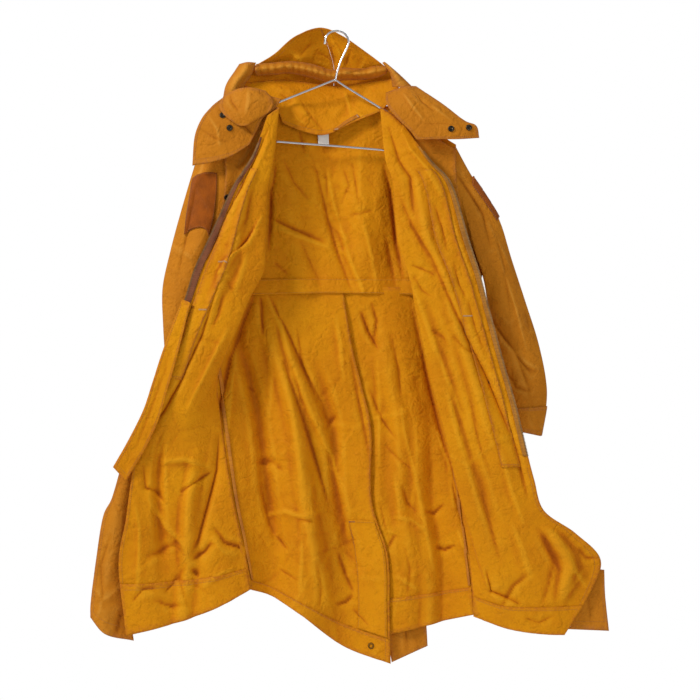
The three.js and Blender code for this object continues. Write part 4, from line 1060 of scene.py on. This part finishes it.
collarLobe = dict(
    rows=[
        dict(x=[-205, -180, -155, -130], y=[-6, -20, -24, -14], z=[-116, -105, -103, -108]),
        dict(x=[-213, -182, -150, -116], y=[-24, -34, -36, -24], z=[-135, -130, -126, -126]),
        dict(x=[-202, -176, -150, -122], y=[-36, -40, -38, -30], z=[-154, -156, -154, -146]),
        dict(x=[-178, -170, -162, -154], y=[-38, -40, -39, -34], z=[-172, -173, -172, -166]),
    ],
    creases=[
        crease(-4, 5, [(-195, -110), (-190, -130), (-175, -150)], 0.5),
        crease(3, 5, [(-160, -105), (-160, -130), (-165, -155)], 0.4),
    ],
    seed=29,
    sizes=[(40, 1.5), (20, 0.8)],
)
hoodStand = dict(
    rows=[
        dict(x=[-178, -96, -8, 50, 110], y=[22, 38, 44, 38, 22], z=[-90, -82, -92, -86, -80]),
        dict(x=[-146, -88, -10, 50, 108], y=[14, 26, 34, 28, 14], z=[-108, -106, -112, -108, -104]),
        dict(x=[-112, -74, -14, 42, 92], y=[6, 14, 19, 14, 6], z=[-138, -140, -146, -138, -126]),
        dict(x=[-99, -64, -22, 30, 78], y=[5, 7, 9, 7, 5], z=[-164, -178, -184, -161, -142]),
    ],
    folds=[
        dict(at=0.2, to=0.35, start=0.1, until=0.9, width=0.12, depth=-5),
        dict(at=0.7, to=0.6, start=0.2, until=0.9, width=0.1, depth=5),
    ],
    creases=[
        crease(4, 5, [(25, -140), (55, -160), (85, -175)], 0.6),
        crease(-4, 5, [(-105, -110), (-90, -120), (-80, -125)], 0.4),
        crease(-4, 5, [(-70, -120), (-50, -150), (-25, -180)], 0.5),
        crease(4, 5, [(10, -100), (20, -130), (25, -160)], 0.5),
        crease(-3, 4, [(45, -120), (65, -130), (85, -140)], 0.4),
        crease(3, 5, [(-90, -130), (-70, -160), (-50, -170)], 0.4),
    ],
    seed=31,
    sizes=[(50, 2.0), (24, 1.1)],
)
hoodCrown = dict(
    rows=[
        dict(x=[-58, -44, -32, -20, -10], y=[26, 29, 30, 29, 26], z=[5, 10, 12, 10, 6]),
        dict(x=[-84, -58, -24, -2, 18], y=[24, 38, 44, 38, 24], z=[-9, -6, -5, -7, -10]),
        dict(x=[-116, -68, -14, 20, 53], y=[22, 46, 56, 46, 22], z=[-37, -34, -32, -34, -35]),
        dict(x=[-146, -84, -8, 38, 78], y=[22, 52, 64, 52, 22], z=[-56, -56, -56, -56, -54]),
        dict(x=[-176, -98, -8, 50, 104], y=[26, 56, 66, 56, 27], z=[-72, -78, -80, -78, -74]),
        dict(x=[-184, -100, -8, 54, 120], y=[30, 50, 58, 50, 30], z=[-98, -102, -106, -102, -94]),
    ],
    folds=[
        dict(at=0.62, to=0.56, start=0.1, until=0.9, width=0.1, depth=-6),
        dict(at=0.3, to=0.24, start=0.3, until=0.9, width=0.12, depth=-6),
    ],
    creases=[
        crease(-4, 4, [(-15, -5), (-10, -30), (-5, -55)], 0.4),
        crease(-3, 3, [(-40, -30), (-25, -35), (-10, -45)], 0.4),
        crease(3, 3, [(-45, -45), (-30, -50), (-15, -55)], 0.4),
        crease(-2, 3, [(-60, 5), (-95, -20), (-140, -55)]),
        crease(-3, 4, [(25, -20), (20, -35), (10, -60)], 0.4),
        crease(4, 5, [(50, -40), (45, -55), (35, -70)], 0.4),
        crease(-3, 4, [(-45, -10), (-60, -25), (-70, -40)], 0.4),
        crease(4, 6, [(-90, -30), (-70, -45), (-55, -65)], 0.4),
        crease(-4, 5, [(-120, -50), (-95, -55), (-80, -70)], 0.4),
        crease(3, 4, [(0, -20), (5, -45), (15, -65)], 0.4),
    ],
    seed=33,
    sizes=[(52, 2.2), (25, 1.2), (13, 0.5)],
)


def gathers(left, right, low):
    # short uneven creases down a channel that is drawn up on its cord
    draw = np.random.default_rng(8)
    creases, x = [], left
    while x < right:
        top = low + 30 + draw.uniform(-4, 4)
        lean = draw.uniform(-4, 8)
        depth, width = draw.uniform(-3.4, -1.4), draw.uniform(3, 5)
        creases.append(crease(depth, width, [(x, top), (x + lean, low - 16)], 0.4))
        x += draw.uniform(9, 19)
    return creases


hoodChannel = dict(
    rows=[
        dict(x=[-148, -150, -148], y=[16, 8, 18], z=[-56, -66, -76]),
        dict(x=[-116, -116, -116], y=[26, 10, 24], z=[-52, -63, -74]),
        dict(x=[-86, -86, -86], y=[30, 12, 28], z=[-49, -60, -71]),
        dict(x=[-50, -50, -50], y=[32, 12, 32], z=[-53, -66, -78]),
        dict(x=[-12, -12, -12], y=[35, 15, 35], z=[-64, -76, -88]),
        dict(x=[8, 8, 8], y=[34, 12, 34], z=[-60, -72, -83]),
        dict(x=[42, 42, 42], y=[32, 12, 32], z=[-62, -73, -82]),
        dict(x=[70, 70, 70], y=[26, 10, 26], z=[-58, -69, -79]),
        dict(x=[86, 88, 88], y=[22, 13, 22], z=[-60, -66, -72]),
    ],
    creases=gathers(-144, 84, -74),
    seed=35,
    sizes=[(30, 1.6), (15, 1.0)],
    drop=0.7,
)
hoodRimRight = dict(
    rows=[
        dict(x=[-178, -163, -148], y=[14, 2, 8], z=[-56, -54, -54]),
        dict(x=[-186, -172, -157], y=[14, -4, 8], z=[-68, -74, -78]),
        dict(x=[-202, -186, -168], y=[12, -6, 6], z=[-94, -94, -94]),
        dict(x=[-208, -192, -174], y=[10, 0, 6], z=[-122, -120, -118]),
    ],
    creases=[
        crease(-3, 5, [(-175, -90), (-165, -80), (-155, -80)], 0.4),
        crease(2, 5, [(-190, -75), (-185, -90), (-185, -110)], 0.4),
    ],
    seed=37,
    sizes=[(36, 1.4), (18, 0.8)],
)
hoodRimLeft = dict(
    rows=[
        dict(x=[80, 83, 86], y=[10, 8, 12], z=[-54, -53, -54]),
        dict(x=[94, 101, 109], y=[6, 2, 10], z=[-74, -72, -74]),
        dict(x=[98, 120, 140], y=[6, 0, 8], z=[-98, -101, -104]),
    ],
    seed=39,
    sizes=[(36, 1.4), (18, 0.8)],
)

hoodParts = {
    "hood_stand": dict(on=hoodStand, cloth=insideOut, size=(0.27, 0.11)),
    "hood_right": dict(on=hoodCrown, cloth=insideOut, size=(0.13, 0.13), area=(0, 0.499, 0, 1)),
    "hood_left": dict(on=hoodCrown, cloth=insideOut, size=(0.12, 0.12), area=(0.501, 1, 0, 1), cut=0.0115),
    "hood_channel": dict(on=hoodChannel, cloth=outsideIn, size=(0.05, 0.25)),
    "hood_rim_right": dict(on=hoodRimRight, cloth=outsideIn, size=(0.035, 0.075)),
    "hood_rim_left": dict(on=hoodRimLeft, cloth=outsideIn, size=(0.02, 0.055)),
    "collar_wing_right": dict(on=wingRight, cloth=outsideIn, size=(0.12, 0.14), wall="double"),
    "collar_wing_left": dict(on=wingLeft, cloth=outsideIn, size=(0.11, 0.14), wall="double"),
    "collar_lobe_right": dict(on=collarLobe, cloth=outsideIn, size=(0.08, 0.08), cut=0.0052),
}
for key, part in hoodParts.items():
    panel(key, spacing=2.4, **part)
stripCorners = [(0.56, 0.97), (0.74, 0.78), (0.78, 0.9), (0.6, 0.995)]
clothPiece("neck_strip", surfaces["hood_stand"], outsideIn, corners=stripCorners, size=(0.036, 0.012),
           spacing=1.8, wall="sewn", lift=1.4)
clothPiece("care_label", surfaces["back_upper"], (satin, satin), area=(0.44, 0.49, 0.09, 0.17),
           size=(0.024, 0.03), spacing=1.8, wall="sewn", lift=5)
print("collar and hood made")


def lastBand(bands):
    # the lowest of a panel's bands of one height, as an area of it
    return 0, 1, 1 - 1 / bands, 1


sewnParts = {
    "waist_channel": dict(on="back_upper", area=lastBand(8), size=(0.45, 0.036), lift=1.8, rim=0),
    "vent_facing": dict(on="back_tail_right", area=(0.82, 0.985, 0.62, 0.925), size=(0.045, 0.21), lift=2.0,
                        rim=0.25),
    "hem_tail_right": dict(on="back_tail_right", area=lastBand(14), size=(0.25, 0.04), lift=2.0,
                           cut=0.0085),
    "hem_tail_left": dict(on="back_tail_left", area=lastBand(12), size=(0.19, 0.055), lift=2.0),
    "hem_front_right": dict(on="front_right", area=lastBand(20), size=(0.24, 0.055), lift=2.2,
                            side=(0.5, 0.9)),
    "hem_front_left": dict(on="front_left", area=lastBand(20), size=(0.2, 0.055), lift=2.2,
                           side=(0.5, 0.9)),
    "facing_right": dict(on="front_right", area=(0.8, 0.93, 0.1, 0.58), size=(0.03, 0.42), lift=2.3,
                         cut=0.0115),
    "facing_left": dict(on="front_left", area=(0.8, 0.93, 0.1, 0.62), size=(0.035, 0.5), lift=2.4),
    "zip_tape_right": dict(on="front_right", area=(0.95, 1.0, 0.04, 0.5), size=(0.012, 0.4), lift=2.2,
                           cloth=(zipTape, zipTape)),
    "zip_tape_left": dict(on="front_left", area=(0.965, 1.0, 0.04, 0.6), size=(0.012, 0.48), lift=2.2,
                          cloth=(dyedTape, dyedTape)),
}
for key, part in sewnParts.items():
    how = dict(cloth=insideOut, wall="sewn") | part
    clothPiece(key, surfaces[how.pop("on")], **how)
print("sewn-on pieces made")


# overlocked edges of the side seams, thread over canvas
seamEdges = {"right": (0.02, 0.042, 0.03, 0.92), "left": (0.965, 0.99, 0.03, 0.91)}
for side, area in seamEdges.items():
    clothPiece("seam_edge_" + side, surfaces["back_tail_" + side], (overlock, overlock), area=area,
               size=(0.01, 0.55), spacing=2.6, wall="sewn", lift=2.6, slotName="zip_tape", cut=0.0033)


def crossAt(place, u, v, reach):
    # how a surface faces at points of it, from others a reach of its width and height away
    return np.cross(place(u + reach, v) - place(u - reach, v), place(u, v + reach) - place(u, v - reach))


stretchSteps = 240  # into which each stretch of a path is divided to measure it


def framesAlong(key, path, pitch, lift):
    # every pitch along a path of (u, v) on a surface: the place, and the ways along, across and out
    place = surfaces[key]
    path = np.array(path, float)
    stretches = len(path) - 1
    shares = np.linspace(0, 1, stretchSteps * stretches + 1) * stretches
    cell = np.minimum(shares.astype(int), stretches - 1)
    u, v = (path[cell] + (path[cell + 1] - path[cell]) * (shares - cell)[:, None]).T
    normals = crossAt(place, u, v, 0.004)
    normals /= np.linalg.norm(normals, axis=1, keepdims=True)
    normals *= np.where(normals[:, 1] > 0, -1, 1)[:, None]
    points = place(u, v) + normals * lift * mm
    steps = np.r_[0, np.cumsum(np.linalg.norm(np.diff(points, axis=0), axis=1))]
    wanted = np.arange(pitch * mm / 2, steps[-1], pitch * mm)
    picked, ahead, outward = (
        np.stack([np.interp(at, steps, values[:, k]) for k in range(3)], 1)
        for at, values in ((wanted, points), (wanted + 0.5 * mm, points), (wanted, normals))
    )
    for point, way, normal in zip(picked, ahead - picked, outward):
        along, out = Vector(way).normalized(), Vector(normal).normalized()
        yield Vector(point), along, out.cross(along).normalized(), out


def shaped(point, ways, size):
    # puts a unit shape at a point, its axes along ways and its size in millimetres
    turn = Matrix(ways).transposed().to_4x4()
    return Matrix.Translation(point) @ turn @ Matrix.Diagonal((*(length * mm for length in size), 1))


stitch = dict(pitch=3.6, long=2.7, thick=0.75, isAcross=False)
barTack = dict(pitch=0.8, long=3.2, thick=0.9, isAcross=True)


def sewnThread(name, runs, material, slotName="canvas_inside"):
    # joined stitches: a run is a surface, a path on it, a lift and what isn't as in a plain stitch
    bm = bmesh.new()
    for key, path, lift, *other in runs:
        kind = stitch | dict(*other)
        size = (kind["long"] / 2, kind["thick"] / 2, kind["thick"] / 2)
        for point, along, across, out in framesAlong(key, path, kind["pitch"], lift):
            ways = (across, along, out) if kind["isAcross"] else (along, across, out)
            bmesh.ops.create_icosphere(bm, subdivisions=1, radius=1, matrix=shaped(point, ways, size))
    smoothed(bm)
    placed(made(name, bm, material), slotName)


seamRuns = {
    "stitches_back": [
        ("back_upper", [(0.02, 0.885), (0.98, 0.885)], 2.5),
        ("back_upper", [(0.02, 0.99), (0.98, 0.99)], 2.5),
        ("back_tail_right", [(0.03, 0.936), (0.98, 0.936)], 2.7),
        ("back_tail_left", [(0.03, 0.924), (0.97, 0.924)], 2.7),
        ("back_tail_right", [(0.825, 0.922), (0.825, 0.625), (0.98, 0.625)], 2.7),
        ("back_tail_right", [(0.975, 0.64), (0.975, 0.99)], 2.7),
        ("back_tail_right", [(0.99, 0.02), (0.99, 0.61)], 1.0),
        ("back_tail_right", [(0.822, 0.624), (0.86, 0.624)], 2.8, barTack),
    ],
    "stitches_front_right": [
        ("front_right", [(0.03, 0.956), (0.97, 0.956)], 2.9),
        ("front_right", [(0.805, 0.11), (0.805, 0.575), (0.925, 0.575), (0.925, 0.11)], 3.0),
        ("front_right", [(0.956, 0.06), (0.956, 0.49)], 2.9),
        ("front_right", [(0.972, 0.52), (0.972, 0.95)], 1.0),
        ("storm_flap", [(0.12, 0.02), (0.12, 0.97), (0.88, 0.97), (0.88, 0.02)], 0.9),
        ("placket_right", [(0.12, 0.03), (0.12, 0.9), (0.9, 0.93)], 0.9),
    ],
    "stitches_front_left": [
        ("front_left", [(0.03, 0.956), (0.97, 0.956)], 2.9),
        ("front_left", [(0.805, 0.11), (0.805, 0.615), (0.925, 0.615), (0.925, 0.11)], 3.1),
        ("front_left", [(0.972, 0.06), (0.972, 0.59)], 2.9),
        ("front_left", [(0.972, 0.62), (0.972, 0.95)], 1.0),
        ("placket_left", [(0.1, 0.9), (0.93, 0.9), (0.93, 0.1)], 0.9),
    ],
    "stitches_sleeves": [
        (arm, [(u / 12, v) for u in range(13)], 3.1)
        for arm in ("sleeve_right", "sleeve_left")
        for v in (cuffTop + 0.012, 0.985)
    ],
    "stitches_collar": [
        ("collar_wing_right", [(0.96, 0.06), (0.96, 0.95), (0.04, 0.95), (0.04, 0.06)], 1.3),
        ("collar_wing_left", [(0.04, 0.06), (0.04, 0.95), (0.96, 0.95), (0.96, 0.06)], 1.3),
        ("collar_lobe_right", [(0.06, 0.08), (0.08, 0.9)], 0.9),
    ],
    "stitches_hood": [
        ("hood_right", [(0.485, 0.04), (0.485, 0.97)], 0.9),
        ("hood_right", [(0.515, 0.04), (0.515, 0.97)], 0.9),
        ("hood_right", [(0.06, 0.04), (0.06, 0.96)], 0.9),
        ("hood_stand", [(0.03, 0.93), (0.97, 0.93)], 0.9),
        ("hood_channel", [(0.12, 0.03), (0.12, 0.97)], 0.9),
        ("hood_channel", [(0.9, 0.03), (0.9, 0.97)], 0.9),
    ],
}
for key, runs in seamRuns.items():
    sewnThread(key, runs, thread)


def runsRound(corners, inset=0.04):
    # the four sides of a patch between its corners, a little inside them
    corners = np.array(corners, float)
    inner = corners + (corners.mean(axis=0) - corners) * inset
    return [*inner, inner[0]]


sewnThread("stitches_patches", [
    ("sleeve_right", runsRound(patches["right"]["corners"]), 4.0),
    ("sleeve_left", runsRound(patches["left"]["corners"]), 4.0),
    ("hood_stand", runsRound(stripCorners, 0.12), 2.0, {"pitch": 2.8, "long": 2.1}),
], thread, "canvas_outside")
sewnThread("bar_tacks", [
    ("hood_stand", [(0.575, 0.965), (0.61, 0.985)], 2.1, barTack),
    ("hood_stand", [(0.735, 0.8), (0.77, 0.9)], 2.1, barTack),
    ("front_right", [(0.81, 0.33), (0.87, 0.33)], 3.1, barTack),
    ("front_right", [(0.81, 0.45), (0.87, 0.45)], 3.1, barTack),
    ("front_left", [(0.81, 0.36), (0.87, 0.36)], 3.2, barTack),
], paleThread, "canvas_outside")
print("stitches made")


def zipTeeth(side, until):
    # a row of cast teeth down the edge of a front's tape
    bm = bmesh.new()
    path = [(0.998, 0.05), (0.998, until)]
    for point, along, across, out in framesAlong("front_" + side, path, pitch=2.6, lift=2.2):
        bmesh.ops.create_cube(bm, size=1, matrix=shaped(point, (across, along, out), (3.4, 1.5, 1.7)))
    placed(made("zip_teeth_" + side, bm, zipMetal), "zip_tape")


zipTeeth("right", 0.5)
zipTeeth("left", 0.6)


def turnedPiece(name, profile, key, spot, lift, node, metal):
    # a revolved metal piece set square on a surface: its profile is (radius, height) in millimetres
    bm = bmesh.new()
    verts = [bm.verts.new((r * mm, 0, h * mm)) for r, h in profile]
    edges = [bm.edges.new(pair) for pair in zip(verts, verts[1:])]
    bmesh.ops.spin(bm, geom=verts + edges, axis=(0, 0, 1), cent=(0, 0, 0), angle=2 * math.pi, steps=28,
                   use_merge=True)
    bmesh.ops.remove_doubles(bm, verts=bm.verts, dist=weld)
    bmesh.ops.recalc_face_normals(bm, faces=bm.faces)
    place = surfaces[key]
    u, v = (np.array([s]) for s in spot)
    normal = crossAt(place, u, v, 0.02)[0]
    normal = Vector(normal if normal[1] < 0 else -normal).normalized()
    where = Vector(place(u, v)[0]) + normal * lift * mm
    turn = normal.to_track_quat("Z", "Y").to_matrix().to_4x4()
    bmesh.ops.transform(bm, matrix=Matrix.Translation(where) @ turn, verts=bm.verts)
    smoothed(bm)
    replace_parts(placed(made(name, bm, metal), slotOf[node]), node)


studProfile = [(0, 1.5), (2.0, 1.4), (2.5, 1.9), (3.4, 2.4), (4.6, 2.3), (5.5, 1.5), (5.6, 0.4), (5.2, 0),
               (0, 0)]
eyeletProfile = [(3, 0), (2.9, 1.0), (3.4, 1.6), (4.6, 1.7), (5.7, 1.0), (6, 0)]
studs = {
    "snap_right_1": ("collar_wing_right", (0.27, 0.42), 1.2),
    "snap_right_2": ("collar_wing_right", (0.5, 0.62), 1.2),
    "snap_left_1": ("collar_wing_left", (0.6, 0.78), 1.2),
    "snap_left_2": ("collar_wing_left", (0.87, 0.78), 1.2),
    "snap_front_right": ("front_right", (0.035, 0.155), 0.8),
}
for node, (key, spot, lift) in studs.items():
    turnedPiece(node + "_stud", studProfile, key, spot, lift, node, brass)
turnedPiece("hem_eyelet_ring", eyeletProfile, "back_tail_right", (0.9, 0.965), 2.8, "hem_eyelet", dullBrass)


hanger = dict(
    wire=2,  # radius
    ball=1.4,  # radius of the ball at the neck over the wire's
    neck=(-5, -87),
    hook=[(-24, -22), (-21.5, -9), (-14, -1), (-1, 2), (10, -1.5), (17, -9), (19, -19), (14, -33), (5, -52),
          (-1, -70), (-5, -88)],
    rightArm=[(-5, -86), (-20, -92), (-100, -124), (-186, -159), (-197, -168), (-199, -178), (-192, -188),
              (-180, -191), (-90, -199), (4, -206)],
    leftArm=[(-5, -86), (8, -95), (75, -136), (175, -197), (188, -208), (189, -216), (182, -222),
             (170, -221), (86, -213), (-2, -205.5)],
)


def between(p, q, start, end, t):
    return p + (q - p) * (t - start) / (end - start)


def bentWire(points, steps=14):
    # a smooth route through bends that are close together and far apart (centripetal Catmull-Rom)
    points = np.array(points, float)
    points = np.vstack([2 * points[0] - points[1], points, 2 * points[-1] - points[-2]])
    route = []
    for a, b, c, d in zip(points, points[1:], points[2:], points[3:]):
        knots = np.r_[0, np.cumsum([np.linalg.norm(q - p) ** 0.5 for p, q in ((a, b), (b, c), (c, d))])]
        for t in np.linspace(knots[1], knots[2], steps, endpoint=False):
            ab = between(a, b, knots[0], knots[1], t)
            bc = between(b, c, knots[1], knots[2], t)
            cd = between(c, d, knots[2], knots[3], t)
            early = between(ab, bc, knots[0], knots[2], t)
            late = between(bc, cd, knots[1], knots[3], t)
            route.append(between(early, late, knots[1], knots[2], t))
    return [*route, points[-2]]


def hangerWire():
    # the bends as one bevelled curve, made a mesh
    curve = bpy.data.curves.new("hanger_bends", "CURVE")
    curve.dimensions = "3D"
    curve.bevel_depth = hanger["wire"] * mm
    curve.bevel_resolution = 4
    curve.use_fill_caps = True
    for route in ("hook", "rightArm", "leftArm"):
        points = bentWire(hanger[route])
        spline = curve.splines.new("POLY")
        spline.points.add(len(points) - 1)
        for point, (x, z) in zip(spline.points, points):
            point.co = (x * mm, 0, z * mm, 1)
    bends = linked("hanger_bends", curve)
    bpy.context.view_layer.update()
    mesh = bpy.data.meshes.new_from_object(bends.evaluated_get(bpy.context.evaluated_depsgraph_get()))
    bpy.data.objects.remove(bends)
    bm = bmesh.new()
    bm.from_mesh(mesh)
    x, z = hanger["neck"]
    bmesh.ops.create_uvsphere(bm, u_segments=16, v_segments=10, radius=hanger["wire"] * hanger["ball"] * mm,
                              matrix=Matrix.Translation((x * mm, 0, z * mm)))
    bmesh.ops.recalc_face_normals(bm, faces=bm.faces)
    smoothed(bm)
    bm.to_mesh(mesh)
    bm.free()
    mesh.materials.clear()
    mesh.materials.append(chrome)
    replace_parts(placed(linked("hanger_wire", mesh), "steel"), "hanger")


hangerWire()
print("metal made")


view = dict(aim=(21.6, -572.4), distance=4000, lens=114.3)
camera = linked("camera", bpy.data.cameras.new("camera"))
camera.data.lens = view["lens"]
camera.data.sensor_width = 36
camera.location = (view["aim"][0] * mm, -view["distance"] * mm, view["aim"][1] * mm)
camera.rotation_euler = (math.pi / 2, 0, 0)
scene.camera = camera


def softbox(name, place, aim, size, power):
    # a round light that is this wide, in metres, and this strong, in watts
    light = bpy.data.lights.new(name, "AREA")
    light.shape = "DISK"
    light.size = size
    light.energy = power
    lamp = linked(name, light)
    lamp.location = place
    lamp.rotation_euler = (Vector(aim) - Vector(place)).to_track_quat("-Z", "Y").to_euler()


softbox("key", (-2.3, -1.7, 1.5), (0, 0, -0.5), 0.9, 78)
softbox("fill", (1.8, -3.2, -0.2), (0, 0, -0.6), 1.6, 20)
softbox("back", (0.6, 2.6, 0.6), (0, 0, -0.5), 1.6, 26)


def studioWorld():
    # a white wall behind the object, and a dimmer light from the rest of the room
    world = bpy.data.worlds.new("studio")
    scene.world = world
    world.use_nodes = True
    tree = world.node_tree
    isSeen = addNode(tree, "LightPath", {}, "Is Camera Ray")
    strength = addNode(tree, "MapRange", {"Value": isSeen, "To Min": 0.42, "To Max": 1.0})
    tree.links.new(strength, tree.nodes["Background"].inputs["Strength"])
    tree.nodes["Background"].inputs["Color"].default_value = (1, 1, 1, 1)


studioWorld()
bm = bmesh.new()
bmesh.ops.create_circle(bm, cap_ends=True, segments=96, radius=2.3, matrix=Matrix.Translation((0, 0, -1.62)))
made("floor", bm, newMaterial("pale_floor", {"Base Color": linear(0xF4F3F1), "Roughness": 0.9})[0])
